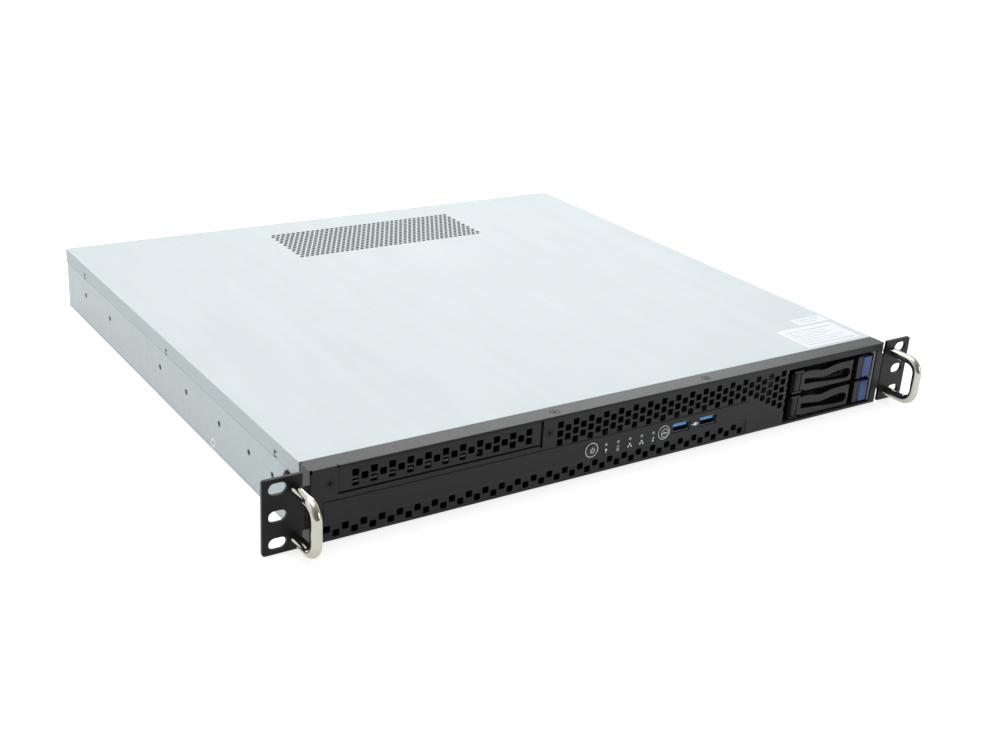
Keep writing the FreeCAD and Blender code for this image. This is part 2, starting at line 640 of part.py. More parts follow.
pan = screw("handle_screw_master", 3.5, 2.2, 2.0, 8.5, False, 1.7)
copies("handle_screws", pan, [at(sg * num(HX), num(F) + num(EY) + num(ET) + 0.02, z, *TO_REAR)
                              for sg in (-1, 1) for z in (num(HZ0), num(HZ1))])
panb = screw("ear_screw_master", 4.0, 1.7, 1.5, 5.0, False, 1.9)
copies("ear_screws", panb, [at(sg * (num(H) + 0.02), num(F) + y, z, *(TO_RIGHT if sg > 0 else TO_LEFT))
                            for sg in (-1, 1) for y, z in EAR_SCREWS])
csk = screw("bezel_screw_master", 2.85, 1.3, 1.45, 6.0, True, 1.6)
copies("bezel_screws", csk,
       [at(x, num(F) + y, num(BH) - 0.05) for x, y in TOP_SCREWS]
       + [at(x, num(F) + 0.0, z, *TO_FRONT) for x, z in SLIM_SCREWS])
cov = screw("cover_screw_master", 2.4, 1.0, 1.2, 2.6, True, 1.5)
copies("cover_screws", cov, [at(x, num(R) - 0.02, RSZ, *TO_REAR) for x in REAR_SCREWS])
sid = screw("side_screw_master", 3.2, 1.0, 1.4, 4.0, True, 1.9)
copies("side_screws", sid, [at(sg * (num(H) - 0.02), num(F) + SIDE_SCREW[0], SIDE_SCREW[1], *(TO_RIGHT if sg > 0 else TO_LEFT)) for sg in (-1, 1)])

# ---------------------------------------------------------------- slim bay
fw, f_lo, f_hi = 0.8, 28.3, 42.2
slim_holes = [Part.Wire(rounded_wire(x, z, gh, gh, num(GC), fy)) for x, z in
              columns("A", range(-17, -6), [37.8, 32.2]) + columns("B", range(-17, -7), [35.0])]
panel = feature("slim_panel_face", sheet_with_holes(
    rect_wire(num(SLX0), num(SLX1), f_lo, f_hi, fy), slim_holes, V(0, num(BT), 0)))
keep(fuse("slim_bay_panel", [
    panel,
    box("slim_side_0", SLX0, SLX0 + fw, F, F + 9, f_lo, 41.0),
    box("slim_side_1", SLX1 - fw, SLX1, F, F + 9, f_lo, 41.0),
    box("slim_under", SLX0, SLX1, F, F + 5, f_lo, f_lo + fw)]), "slim_bay_panel")
tb = body("slim_bay_tray")
keep(tb, "slim_bay_tray")
pad(tb, "XZ", F + 1.3, F + 122, [("poly", [
    (SLX0 - 1.6, 26.6), (SLX1 + 1.9, 26.6), (SLX1 + 1.9, 40.9), (SLX1 + 1.1, 40.9), (SLX1 + 1.1, 27.4),
    (SLX0 - 0.8, 27.4), (SLX0 - 0.8, 40.9), (SLX0 - 1.6, 40.9)])])
pad(tb, "XZ", F + 1.3, F + 2.1, [("poly", [(SLX0 - 10.2, 30), (SLX0 - 1.0, 30), (SLX0 - 1.0, 39), (SLX0 - 10.2, 39)]),
                                 ("poly", [(SLX1 + 1.3, 30), (SLX1 + 10.4, 30), (SLX1 + 10.4, 39), (SLX1 + 1.3, 39)])])
pocket(tb, "XZ", F + 1, F + 3, [("circ", x, z, 1.55) for x, z in SLIM_SCREWS])
pocket(tb, "XY", 26, 28, [("poly", [(SLX0 + 14 + 28 * i, F + 30), (SLX0 + 34 + 28 * i, F + 30), (SLX0 + 34 + 28 * i, F + 100), (SLX0 + 14 + 28 * i, F + 100)]) for i in range(4)])

# ---------------------------------------------------------------- control row
CY = F + 12.0                      # front face of the control board
cbd = body("control_board")
keep(cbd, "control_board")
pad(cbd, "XZ", CY, CY + MT, [("poly", [(-44, 10), (74, 10), (74, 26), (-44, 26)])])
pocket(cbd, "XZ", CY - 1, CY + MT + 1, [("circ", -41, 23, 1.3), ("circ", 71, 23, 1.3)])
sw = []
for k, x in enumerate((PX, RX)):
    sw.append(fuse("switch_%d" % k, [
        box("switch_base_%d" % k, x - 3, x + 3, CY - 2.0, CY - 0.02, CZ - 3, CZ + 3),
        cyl("switch_knob_%d" % k, 1.6, 1.5, x, CY - 3.3, CZ, "y")]))
keep(comp("control_switches", sw), "control_switches")
keep(comp("led_light_pipes", [
    fuse("pipe_%d" % k, [cyl("pipe_tip_%d" % k, 1.0, 3.6, x, F - 0.6, LEDZ, "y"),
                         cyl("pipe_rod_%d" % k, 1.5, CY - 0.05 - (F + 2.9), x, F + 2.9, LEDZ, "y")])
    for k, x in enumerate(LEDX)]), "led_light_pipes")
sh, tg = [], []
for k, x in enumerate(USBX):
    o = box("usb_out_%d" % k, x - 6.6, x + 6.6, F + 0.3, CY - 0.02, USBZ - 2.85, USBZ + 2.85)
    i = box("usb_in_%d" % k, x - 6.15, x + 6.15, F - 1.6, CY - 1.0, USBZ - 2.4, USBZ + 2.4)
    sh.append(cut("usb_shell_%d" % k, o, [i]))
    tg.append(box("usb_tongue_%d" % k, x - 5.3, x + 5.3, F + 1.2, CY - 1.02, USBZ + 0.25, USBZ + 2.05))
keep(comp("usb_shells", sh), "usb_shells")
keep(comp("usb_tongues", tg), "usb_tongues")
for label, x in (("power_button", PX), ("reset_button", RX)):
    b = body(label)
    keep(b, label)
    # turned about its own axis, then laid along Y: local Z runs to the rear
    revolve(b, [(0, 0), (2.3, 0), (2.3, 0.25), (2.9, 0.25), (2.9, 0), (BR - 0.4, 0), (BR, 0.4), (BR, 2.35), (BR + 1.0, 2.35),
                (BR + 1.0, 3.35), (1.3, 3.35), (1.3, 8.9), (0, 8.9)])
    b.Placement = at(x, F - 1.3, CZ, (1, 0, 0), -90)
    bind(b, "Placement.Base.x", x)
    bind(b, "Placement.Base.y", F - 1.3)
    bind(b, "Placement.Base.z", CZ)

# ---------------------------------------------------------------- drive cage
cg = body("drive_cage")
keep(cg, "drive_cage")
CL = KX0 - 0.6              # inner faces of the cage walls
CR = KX1 + 0.5
LZ = KZ + KH + 0.4          # ledges between the caddies
pad(cg, "XZ", F + 17, F + 127, [("poly", [
    (CL - 1, 1.3), (CR + 1, 1.3), (CR + 1, 38.2), (CR - 4, 38.2), (CR - 4, 37.2), (CR, 37.2), (CR, LZ + 1.2), (CR - 3, LZ + 1.2), (CR - 3, LZ), (CR, LZ), (CR, 2.1),
    (CL, 2.1), (CL, LZ), (CL + 3, LZ), (CL + 3, LZ + 1.2), (CL, LZ + 1.2), (CL, 37.2), (CL + 4, 37.2), (CL + 4, 38.2), (CL - 1, 38.2)])])
pad(cg, "XY", 37.2, 38.2, [("poly", [(CL - 1, F + 17), (CR + 1, F + 17), (CR + 1, F + 110), (CL - 1, F + 110)])])
pad(cg, "YZ", CR, CR + 1, [("poly", [(F + 1.3, 2.1), (F + 18, 2.1), (F + 18, 38.2), (F + 1.3, 38.2)])])
pad(cg, "YZ", CL - 1, CL, [("poly", [(F + 4, 2.3), (F + 18, 2.3), (F + 18, 38.2), (F + 4, 38.2)])])
pocket(cg, "XY", 37, 39, [("poly", [(CL + 8 + 24 * i, F + 35), (CL + 22 + 24 * i, F + 35), (CL + 22 + 24 * i, F + 95), (CL + 8 + 24 * i, F + 95)]) for i in range(3)])
bp = body("drive_backplane")
keep(bp, "drive_backplane")
BY = F + 124.4
pad(bp, "XZ", BY, BY + MT, [("poly", [(CL + 0.4, 2.6), (CR - 0.4, 2.6), (CR - 0.4, 36.6), (CL + 0.4, 36.6)])])
DCX = (KX0 + KX1) / 2
pocket(bp, "XZ", BY - 1, BY + MT + 1, [("poly", [(DCX + a, z), (DCX + a + 14, z), (DCX + a + 14, z + 5), (DCX + a, z + 5)])
                                       for a in (-34, -17, 3, 20) for z in (LZ - 5.6, 31.0)])
pocket(bp, "XZ", BY - 1, BY + MT + 1, [("poly", [(a, LZ - 0.2), (b_, LZ - 0.2), (b_, LZ + 1.4), (a, LZ + 1.4)])
                                       for a, b_ in ((CL - 1, CL + 3.2), (CR - 3.2, CR + 1))])
keep(comp("backplane_sockets", [
    box("socket_%d" % k, DCX - 21, DCX + 21, F + 118.2, BY - 0.02, KZ + KP * k + 3.2, KZ + KP * k + 8.2) for k in (0, 1)]), "backplane_sockets")

dsc = screw("drive_screw_master", 2.7, 1.2, 1.4, 6.0, True, 1.6)
for k, side in enumerate(("lower", "upper")):
    z0 = KZ + KP * k
    z1 = z0 + KH
    c = body(side + "_caddy")
    keep(c, side + "_caddy")
    yf, yb = F + KY, F + KY + 8.6        # face and front of the block behind the lever
    ye = yb + 5.8
    pad(c, "XZ", yb, ye, [("poly", [(KX0, z0), (KX1, z0), (KX1, z1), (KX0, z1)])])
    pad(c, "XZ", yf + 5.0, ye, [("poly", [(KX0, z0), (LX - LR - 0.7, z0), (LX - LR - 0.7, z1), (KX0, z1)])])
    pad(c, "XZ", yf, ye, [("poly", [(193.0, z0), (197.8, z0), (197.8, z1), (193.0, z1)]),
                          ("poly", [(KX1 - 0.9, z0), (KX1, z0), (KX1, z1), (KX1 - 0.9, z1)])])
    for lo, hi in ((z0, z0 + 1.2), (z1 - 1.2, z1)):
        pad(c, "XY", lo, hi, [("poly", [(KX0 + 3.2, yf), (LX + LR, yf), (LX + LR, ye), (KX0 + 3.2, ye)])])
    # tray behind the block: two rails and two cross straps
    yt = F + 117
    for a, b_ in ((KX0, KX0 + 3), (KX1 - 3, KX1)):
        pad(c, "YZ", a, b_, [("poly", [(ye - 1, z0 + 0.6), (yt, z0 + 0.6), (yt, z0 + 12.6), (ye - 1, z0 + 12.6)])])
    pad(c, "XY", z0 + 0.6, z0 + 1.8, [("poly", [(KX0, F + y), (KX1, F + y), (KX1, F + y + 8), (KX0, F + y + 8)]) for y in (40, 96)])
    pocket(c, "XZ", yb - 1, ye + 1, [("poly", [(x, z0 + 3.0), (x + 12, z0 + 3.0), (x + 12, z0 + 11.6), (x, z0 + 11.6)]) for x in (144.5, 159.0, 173.5)])
    pocket(c, "XY", z0 - 1, z1 + 1, [("circ", LX, F + KY + LR, 1.0)])
    DY0 = F + 17.2
    SCY = (14.0, 90.6)
    SCZ = z0 + 2.3 + 3.0
    pocket(c, "YZ", KX0 - 1, KX1 + 1, [("circ", DY0 + y, SCZ, 1.6) for y in SCY])
    pocket(c, "YZ", KX0 - 1, KX0 + 1.4, [("circ", DY0 + y, SCZ, 2.95) for y in SCY])
    pocket(c, "YZ", KX1 - 1.4, KX1 + 1, [("circ", DY0 + y, SCZ, 2.95) for y in SCY])

    d = body(side + "_drive")
    keep(d, side + "_drive")
    dz = z0 + 2.3
    dx0, dx1 = DCX - DW / 2, DCX + DW / 2
    pad(d, "XY", dz, dz + DH, [("poly", [(dx0, DY0), (dx1, DY0), (dx1, DY0 + DL), (dx0, DY0 + DL)])])
    fillet_edges(d, lambda e: straight(e, "z"), 2.0)
    pocket(d, "XZ", DY0 + DL - 5.5, DY0 + DL + 1, [("poly", [(DCX - 21.5, dz + 0.8), (DCX + 21.5, dz + 0.8), (DCX + 21.5, dz + 6.0), (DCX - 21.5, dz + 6.0)])])
    pocket(d, "YZ", dx0 - 1, dx0 + 3.5, [("circ", DY0 + y, SCZ, 1.5) for y in SCY])
    pocket(d, "YZ", dx1 - 3.5, dx1 + 1, [("circ", DY0 + y, SCZ, 1.5) for y in SCY])
    pocket(d, "XY", dz + DH - 0.4, dz + DH + 1, [("poly", [(dx0 + 6, DY0 + 8), (dx1 - 6, DY0 + 8), (dx1 - 6, DY0 + DL - 12), (dx0 + 6, DY0 + DL - 12)])])
    copies(side + "_drive_screws", dsc,
           [at(num(KX0) + 0.1, num(DY0) + y, num(SCZ), *TO_LEFT) for y in SCY]
           + [at(num(KX1) - 0.1, num(DY0) + y, num(SCZ), *TO_RIGHT) for y in SCY])
    pn = body(side + "_lever_pin")
    keep(pn, side + "_lever_pin")
    pad(pn, "XY", z0 + 0.1, z1 - 0.1, [("circ", LX, F + KY + LR, 1.0)])

    # lever: hinge barrel and a waved arm with a long finger slot
    zz = num(z0)
    y0, y1 = num(F) + num(KY), num(F) + num(KY) + 5.2

    def curve(pts):
        c_ = Part.BSplineCurve()
        c_.interpolate([V(a, y0, zz + r) for a, r in pts])
        return c_.toShape()
    top = [(140.0, 14.6), (147, 14.5), (153, 14.0), (159.5, 12.9), (166, 13.7), (172, 14.7), (179, 15.1), (188, 15.15)]
    arm = Part.Wire([curve(top), Part.LineSegment(V(188, y0, zz + 15.15), V(188, y0, zz + 0.6)).toShape(),
                     Part.LineSegment(V(188, y0, zz + 0.6), V(140, y0, zz + 0.6)).toShape(),
                     Part.LineSegment(V(140, y0, zz + 0.6), V(140, y0, zz + 14.6)).toShape()])
    s_up = [(143.6, 9.1), (150, 8.8), (156, 8.0), (162, 7.6), (168, 8.5), (174, 9.5), (183.2, 9.9)]
    s_dn = [(143.6, 5.5), (150, 5.3), (156, 4.9), (162, 4.3), (168, 3.7), (174, 3.3), (183.2, 3.1)]
    slot = Part.Wire([curve(s_up), Part.Arc(V(183.2, y0, zz + 9.9), V(186.4, y0, zz + 6.6), V(183.2, y0, zz + 3.1)).toShape(),
                      curve(s_dn[::-1]), Part.LineSegment(V(143.6, y0, zz + 5.5), V(143.6, y0, zz + 9.1)).toShape()])
    arm_s = Part.makeFace([arm, slot], "Part::FaceMakerBullseye").extrude(V(0, y1 - y0, 0))
    barrel = Part.makeCylinder(num(LR), num(KH) - 3.0, V(num(LX), num(F) + num(KY) + num(LR), zz + 1.5))
    # the arm stays between the lugs next to the barrel
    trim = Part.makeBox(4.4, 8, 20, V(139.5, y0 - 1, zz + num(KH) - 1.5)).fuse(Part.makeBox(4.4, 8, 3.5, V(139.5, y0 - 1, zz - 2.0)))
    lev = arm_s.cut(trim).fuse(barrel).removeSplitter()
    lev = lev.cut(Part.makeCylinder(1.05, 30, V(num(LX), num(F) + num(KY) + num(LR), zz - 5)))
    keep(feature(side + "_lever_shape", lev), side + "_caddy_lever")

    t = body(side + "_release_tab")
    keep(t, side + "_release_tab")
    pad(t, "XZ", F + KY - 0.4, F + KY + 6.0, [("poly", [(198.2, z0 + 0.7), (206.1, z0 + 0.7), (206.1, z1 - 0.7), (198.2, z1 - 0.7)])])
    fillet_edges(t, lambda e: straight(e, "z") or straight(e, "y"), 0.7)

# ---------------------------------------------------------------- fans
FZ = 21.45
fan = body("fan_master")
pad(fan, "XZ", 0, FD, [("poly", [(-FS / 2, -FS / 2), (FS / 2, -FS / 2), (FS / 2, FS / 2), (-FS / 2, FS / 2)])])
fillet_edges(fan, lambda e: straight(e, "y"), 2.0)
pocket(fan, "XZ", -1, FD + 1, [("circ", 0, 0, FS / 2 - 1.0)] + [("circ", a, c_, 2.0) for a in (-16, 16) for c_ in (-16, 16)])
spokes = []
for k in range(3):
    t_ = math.radians(90 + 120 * k)
    u, w = (math.cos(t_), math.sin(t_)), (-math.sin(t_), math.cos(t_))
    spokes.append(("poly", [(8.0 * u[0] - 1.1 * w[0], 8.0 * u[1] - 1.1 * w[1]), (19.4 * u[0] - 1.1 * w[0], 19.4 * u[1] - 1.1 * w[1]),
                            (19.4 * u[0] + 1.1 * w[0], 19.4 * u[1] + 1.1 * w[1]), (8.0 * u[0] + 1.1 * w[0], 8.0 * u[1] + 1.1 * w[1])]))
pad(fan, "XZ", FD - 2.5, FD, spokes)
pad(fan, "XZ", FD - 2.5, FD, [("circ", 0, 0, 9.0)])
pad(fan, "XZ", FD - 14, FD - 2, [("circ", 0, 0, 1.5)])

hub = Part.makeCylinder(10.5, 20, V(0, 4, 0), V(0, 1, 0))
hub = hub.makeFillet(1.2, [e for e in hub.Edges if len(e.Vertexes) == 1 and abs(e.CenterOfMass.y - 4) < 1e-6])


def blade():
    def section(x, lean):
        a = (5.5, -5.9 * lean)
        b_ = (21.5, 5.9 * lean)
        dy, dz = b_[0] - a[0], b_[1] - a[1]
        n_ = math.hypot(dy, dz)
        ty, tz = -dz / n_ * 0.6, dy / n_ * 0.6
        q = [V(x, a[0] - ty, a[1] - tz), V(x, b_[0] - ty, b_[1] - tz), V(x, b_[0] + ty, b_[1] + tz), V(x, a[0] + ty, a[1] + tz)]
        return Part.makePolygon(q + q[:1])
    return Part.makeLoft([section(8.2, 0.95), section(17.1, 1.0)], True, True)


rotor = hub
for k in range(7):
    bl = blade()
    bl.rotate(V(0, 0, 0), V(0, 1, 0), 360.0 / 7 * k)
    rotor = rotor.fuse(bl)
rotor = rotor.cut(Part.makeCylinder(1.55, 12, V(0, 13, 0), V(0, 1, 0))).removeSplitter()
rotor_master = feature("rotor_master", rotor)
FANX = [-42.0, 3.0, 48.0, 93.0]
copies("fan_frames", fan, [at(x, num(F) + num(FY), FZ) for x in FANX])
for k, x in enumerate(FANX):
    copies("fan_rotor_%d" % (k + 1), rotor_master, [at(x, num(F) + num(FY), FZ)])
fb = body("fan_bracket")
keep(fb, "fan_bracket")
pad(fb, "XZ", F + FY - 1.4, F + FY - 0.2, [("poly", [(-64, 1.3), (126, 1.3), (126, 41.6), (-64, 41.6)])])
pad(fb, "XY", 1.3, 2.5, [("poly", [(-64, F + FY - 10), (126, F + FY - 10), (126, F + FY - 0.8), (-64, F + FY - 0.8)])])
pocket(fb, "XZ", F + FY - 2, F + FY, [("circ", x, FZ, 18.9) for x in FANX])

# ---------------------------------------------------------------- motherboard
ZB0 = ST + MH
ZB = ZB0 + MT               # top of the board
MY1 = TR - ST - 1.4
MY0 = MY1 - MW
MB = [(MX + a, MY0 + c_) for a in (8, 122, 236) for c_ in (8, 120, 214)]
mb = body("motherboard")
keep(mb, "motherboard")
pad(mb, "XY", ZB0, ZB, [("poly", [(MX, MY0), (MX + MW, MY0), (MX + MW, MY1), (MX, MY1)])])
pocket(mb, "XY", ZB0 - 1, ZB + 1, [("circ", x, y, 1.6) for x, y in MB])
so = body("standoff_master")
revolve(so, [(1.35, 0), (2.8, 0), (2.8, MH), (1.35, MH)])
copies("board_standoffs", so, [at(num(x), num(y), num(ST)) for x, y in MB])
bs = screw("board_screw_master", 2.9, 1.9, 1.3, 5.0, False, 1.5)
copies("board_screws", bs, [at(num(x), num(y), num(ZB) + 0.01) for x, y in MB])


def finned(label, cx, cy, side, z0, base, top, count, gauge):
    b = body(label)
    keep(b, label)
    x0, x1, y0, y1 = cx - side / 2, cx + side / 2, cy - side / 2, cy + side / 2
    pad(b, "XY", z0, z0 + base, [("poly", [(x0, y0), (x1, y0), (x1, y1), (x0, y1)])])
    f = pad(b, "XY", z0 + base - 0.2, top, [("poly", [(x0, y0), (x0 + gauge, y0), (x0 + gauge, y1), (x0, y1)])])
    lp = b.newObject("PartDesign::LinearPattern", label + "_fins")
    lp.Originals = [f]
    lp.Direction = ([o for o in b.Origin.OriginFeatures if o.Role == "X_Axis"][0], [""])
    lp.Length = side - gauge
    lp.Occurrences = count
    b.Tip = lp
    doc.recompute()
    return b


CPUX, CPUY = 32.0, MY0 + 82
finned("cpu_heatsink", Q.of(CPUX), CPUY, 84.0, ZB + 6.0, 3.0, Q.of(40.0), 25, 0.9)
finned("chipset_heatsink", Q.of(-58.0), MY0 + 150, 38.0, ZB + 1.6, 2.5, ZB + 16.0, 10, 1.1)
DIMX = [92.0, 101.0, 110.0, 119.0]
DIMY = MY0 + 16
sockets = [box("cpu_socket", CPUX - 26, CPUX + 26, CPUY - 26, CPUY + 26, ZB + 0.01, ZB + 5.98),
           box("chipset", -70, -46, MY0 + 138, MY0 + 162, ZB + 0.01, ZB + 1.58),
           box("power_header", MX + 5, MX + 15, MY0 + 46, MY0 + 98, ZB + 0.01, ZB + 12)]
for k, x in enumerate(DIMX):
    sockets.append(cut("memory_socket_%d" % k, box("memory_block_%d" % k, x - 3.2, x + 3.2, DIMY, DIMY + 142, ZB + 0.01, ZB + 7.5),
                       [box("memory_slot_%d" % k, x - 0.8, x + 0.8, DIMY + 4, DIMY + 138, ZB + 2.4, ZB + 8)]))
RSY = MY0 + 168
sockets.append(cut("riser_socket", box("riser_block", 90.2, 97.8, RSY, RSY + 72, ZB + 0.01, ZB + 9),
                   [box("riser_slot", 93.0, 95.0, RSY + 2, RSY + 70, ZB + 2.8, ZB + 10)]))
for k in range(3):
    sockets.append(box("sata_port_%d" % k, 127, 141, MY0 + 20 + 16 * k, MY0 + 28 + 16 * k, ZB + 0.01, ZB + 7))
for k, x in enumerate(FANX[:3]):
    sockets.append(box("fan_header_%d" % k, x - 5, x + 5, MY0 + 1.5, MY0 + 5.0, ZB + 0.01, ZB + 7))
keep(comp("board_sockets", sockets), "board_sockets")
mods = []
for k, x in enumerate(DIMX):
    mods.append(fuse("module_%d" % k, [
        box("module_board_%d" % k, x - 0.65, x + 0.65, DIMY + 4.4, DIMY + 137.6, ZB + 2.5, ZB + 32.5)]
        + [box("module_chip_%d_%d" % (k, j), x - 1.75, x + 1.75, DIMY + 9 + 15.7 * j, DIMY + 19 + 15.7 * j, ZB + 12, ZB + 24) for j in range(8)]))
keep(comp("memory_modules", mods), "memory_modules")

PORTS = [("lan_0", -95, -79, 13.4), ("lan_1", -77, -61, 13.4), ("usb_pair", -57, -43, 15.8), ("video", -38, -7, 12.4),
         ("serial", -2, 29, 12.4), ("lan_2", 34, 50, 13.4)]
ports, holes_ = [], []
for n_, a, c_, h_ in PORTS:
    ports.append(cut("port_" + n_, box("port_body_" + n_, a, c_, MY1 - 18, R - 1.2, ZB + 0.02, ZB + h_),
                     [box("port_mouth_" + n_, a + 1.6, c_ - 1.6, R - 10, R, ZB + 2.0, ZB + h_ - 1.4)]))
    holes_.append(("poly", [(a - 0.3, ZB - 0.2), (c_ + 0.3, ZB - 0.2), (c_ + 0.3, ZB + h_ + 0.3), (a - 0.3, ZB + h_ + 0.3)]))
keep(comp("rear_ports", ports), "rear_ports")
ios = body("io_shield")
keep(ios, "io_shield")
pad(ios, "XZ", TR - ST - 1.1, TR - ST - 0.1, [("poly", [(IOX0 - 1.5, 5.0), (IOX1 + 1.5, 5.0), (IOX1 + 1.5, 41.3), (IOX0 - 1.5, 41.3)])])
pocket(ios, "XZ", TR - ST - 2, TR, holes_)
pocket(ios, "XZ", TR - ST - 2, TR, [("circ", -92.0 + 4.4 * i + (2.2 if j % 2 else 0), 27.0 + 3.81 * j, 1.5) for j in range(3) for i in range(33)])
keep(fuse("riser_card", [
    box("riser_board", 93.25, 94.75, RSY + 2.4, RSY + 69.6, ZB + 3.0, 41.0),
    box("riser_connector", 94.7, 105.0, RSY + 6, RSY + 64, 25.0, 33.0)]), "riser_card")
keep(fuse("slot_cover", [
    box("slot_plate", 96.5, 209.0, TR - ST - 1.1, TR - ST - 0.1, 21.5, 40.2),
    box("slot_tab", 208.0, 209.0, TR - ST - 11, TR - ST - 0.1, 21.5, 40.2)]), "slot_cover")

# ---------------------------------------------------------------- power supply
PY1 = TR - ST - 0.2
PY0 = PY1 - UD
UZ0, UZ1 = 1.4, 40.3
UXR = UX + UW
case = body("psu_case")
keep(case, "psu_case")
pad(case, "XY", UZ0, UZ1, [("poly", [(UX, PY0), (UXR, PY0), (UXR, PY1), (UX, PY1)])])
pocket(case, "XY", UZ0 + 1, UZ1 + 1, [("poly", [(UX + 1, PY0 + 1), (UXR - 1, PY0 + 1), (UXR - 1, PY1 - 1), (UX + 1, PY1 - 1)])])
PFX, PFZ = UX + 75, 21.35
grille = []
for j in range(-4, 5):
    for i in range(-4, 5):
        gx, gz = 4.2 * i + (2.1 if j % 2 else 0), 3.64 * j
        if 4.0 < math.hypot(gx, gz) < 15.6:
            grille.append(("circ", PFX + gx, PFZ + gz, 1.55))
INX, INZ = UX + 28, 19.0
pocket(case, "XZ", PY1 - 2, PY1 + 1, grille + [("poly", [(INX - 13.6, INZ - 9.9), (INX + 13.6, INZ - 9.9), (INX + 13.6, INZ + 9.9), (INX - 13.6, INZ + 9.9)])])
pocket(case, "XZ", PY0 - 1, PY0 + 2, [("poly", [(UX + 10 + 10 * i, 8), (UX + 16 + 10 * i, 8), (UX + 16 + 10 * i, 34), (UX + 10 + 10 * i, 34)]) for i in range(8)])
keep(fuse("psu_cover", [
    box("psu_lid", UX, UXR, PY0, PY1, UZ1 + 0.05, UZ1 + 1.05),
    box("psu_lip_0", UX + 1.1, UX + 2.0, PY0 + 4, PY1 - 4, UZ1 - 5, UZ1 + 0.5),
    box("psu_lip_1", UXR - 2.0, UXR - 1.1, PY0 + 4, PY1 - 4, UZ1 - 5, UZ1 + 0.5)]), "psu_cover")
pb = [box("psu_pcb", UX + 4, UXR - 4, PY0 + 8, PY1 - 34, 5.4, 7.0),
      box("psu_transformer", UX + 34, UX + 60, PY0 + 60, PY0 + 90, 6.9, 33),
      box("psu_choke", UX + 66, UX + 86, PY0 + 26, PY0 + 46, 6.9, 26),
      box("psu_sink_0", UX + 10, UX + 13, PY0 + 20, PY0 + 130, 6.9, 36),
      box("psu_sink_1", UX + 88, UX + 91, PY0 + 50, PY0 + 140, 6.9, 36)]
for k, (a, c_) in enumerate([(24, 118), (46, 118), (24, 140), (70, 70), (70, 90)]):
    pb.append(cyl("psu_capacitor_%d" % k, 8.5, 27, UX + a, PY0 + c_, 6.9))
for k in range(4):
    pb.append(cyl("psu_foot_%d" % k, 2.5, 3.0, UX + (9 if k % 2 else UW - 9), PY0 + (14 if k < 2 else UD - 42), 2.45))
keep(fuse("psu_board_parts", pb), "psu_board")
pfy = num(PY1) - 1.2 - 0.92 * num(FD)
for master, label in ((fan, "psu_fan_frame"), (rotor_master, "psu_fan_rotor")):
    s_ = master.Shape.copy()
    s_.scale(0.92, V(0, 0, 0))
    s_.translate(V(num(PFX), pfy, PFZ))
    keep(feature(label, s_), label)
inl = fuse("inlet_block", [
    box("inlet_body", INX - 13.4, INX + 13.4, PY1 - 20, PY1 + 0.1, INZ - 9.7, INZ + 9.7),
    box("inlet_flange", INX - 15.4, INX + 15.4, PY1 + 0.02, PY1 + 1.4, INZ - 11.6, INZ + 11.6)])
inl = cut("inlet_hollow", inl, [box("inlet_cavity", INX - 12.0, INX + 12.0, PY1 - 15, PY1 + 3, INZ - 8.2, INZ + 8.2)])
keep(fuse("inlet_with_pins", [inl] + [
    box("inlet_pin_%d" % k, INX + a - 1, INX + a + 1, PY1 - 16, PY1 - 5, INZ + c_ - 2, INZ + c_ + 2)
    for k, (a, c_) in enumerate([(-7, -2.2), (0, 2.2), (7, -2.2)])]), "power_inlet")

# ---------------------------------------------------------------- label on the cover
keep(comp("cover_label", [
    box("label_large", 158.0, 209.0, F + 15.5, F + 47.0, BH, BH + 0.12),
    box("label_small", 184.0, 212.0, F + 49.0, F + 60.0, BH, BH + 0.12)]), "cover_label")


# ---------------------------------------------------------------- check and write
doc.recompute()
bad = [o.Name for o in doc.Objects if "Invalid" in o.State or "Error" in o.State]
if bad:
    raise RuntimeError("failed objects: %s" % bad)
for label, obj in NODES.items():
    shp = obj.Shape
    if shp.isNull() or not shp.isValid() or not shp.Solids:
        raise RuntimeError("%s has no valid solid" % label)
for old in os.listdir("parts"):
    if old.endswith(".step") and old[:-5] not in NODES:
        os.remove(os.path.join("parts", old))
for label, obj in NODES.items():
    obj.Shape.exportStep("parts/%s.step" % label)
    bb = obj.Shape.BoundBox
    print("%-24s %2d solids %9.1f mm3  x %.1f..%.1f  y %.1f..%.1f  z %.1f..%.1f" % (
        label, len(obj.Shape.Solids), obj.Shape.Volume, bb.XMin, bb.XMax, bb.YMin - num(F), bb.YMax - num(F), bb.ZMin, bb.ZMax))
print(len(NODES), "nodes")
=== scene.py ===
"""Looks of a one rack unit server: finishes of the CAD parts, printed marks, small fitted details, studio and camera."""
import json
import math

import bmesh
import bpy
from mathutils import Matrix, Vector


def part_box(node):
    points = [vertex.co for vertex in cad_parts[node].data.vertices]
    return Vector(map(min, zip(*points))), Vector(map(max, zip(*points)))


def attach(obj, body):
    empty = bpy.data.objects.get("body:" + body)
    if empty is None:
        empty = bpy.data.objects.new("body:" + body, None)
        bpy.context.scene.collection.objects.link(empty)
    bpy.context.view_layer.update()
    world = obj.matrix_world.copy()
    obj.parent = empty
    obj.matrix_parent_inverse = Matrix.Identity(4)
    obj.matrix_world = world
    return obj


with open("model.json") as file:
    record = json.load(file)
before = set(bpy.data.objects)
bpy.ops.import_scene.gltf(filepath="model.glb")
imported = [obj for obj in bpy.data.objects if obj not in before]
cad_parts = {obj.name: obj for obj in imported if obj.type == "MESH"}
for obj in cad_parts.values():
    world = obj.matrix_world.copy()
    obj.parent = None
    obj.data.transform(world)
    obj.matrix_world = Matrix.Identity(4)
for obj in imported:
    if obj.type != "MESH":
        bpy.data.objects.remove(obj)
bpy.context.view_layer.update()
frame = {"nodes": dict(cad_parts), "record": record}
NODES = frame["nodes"]


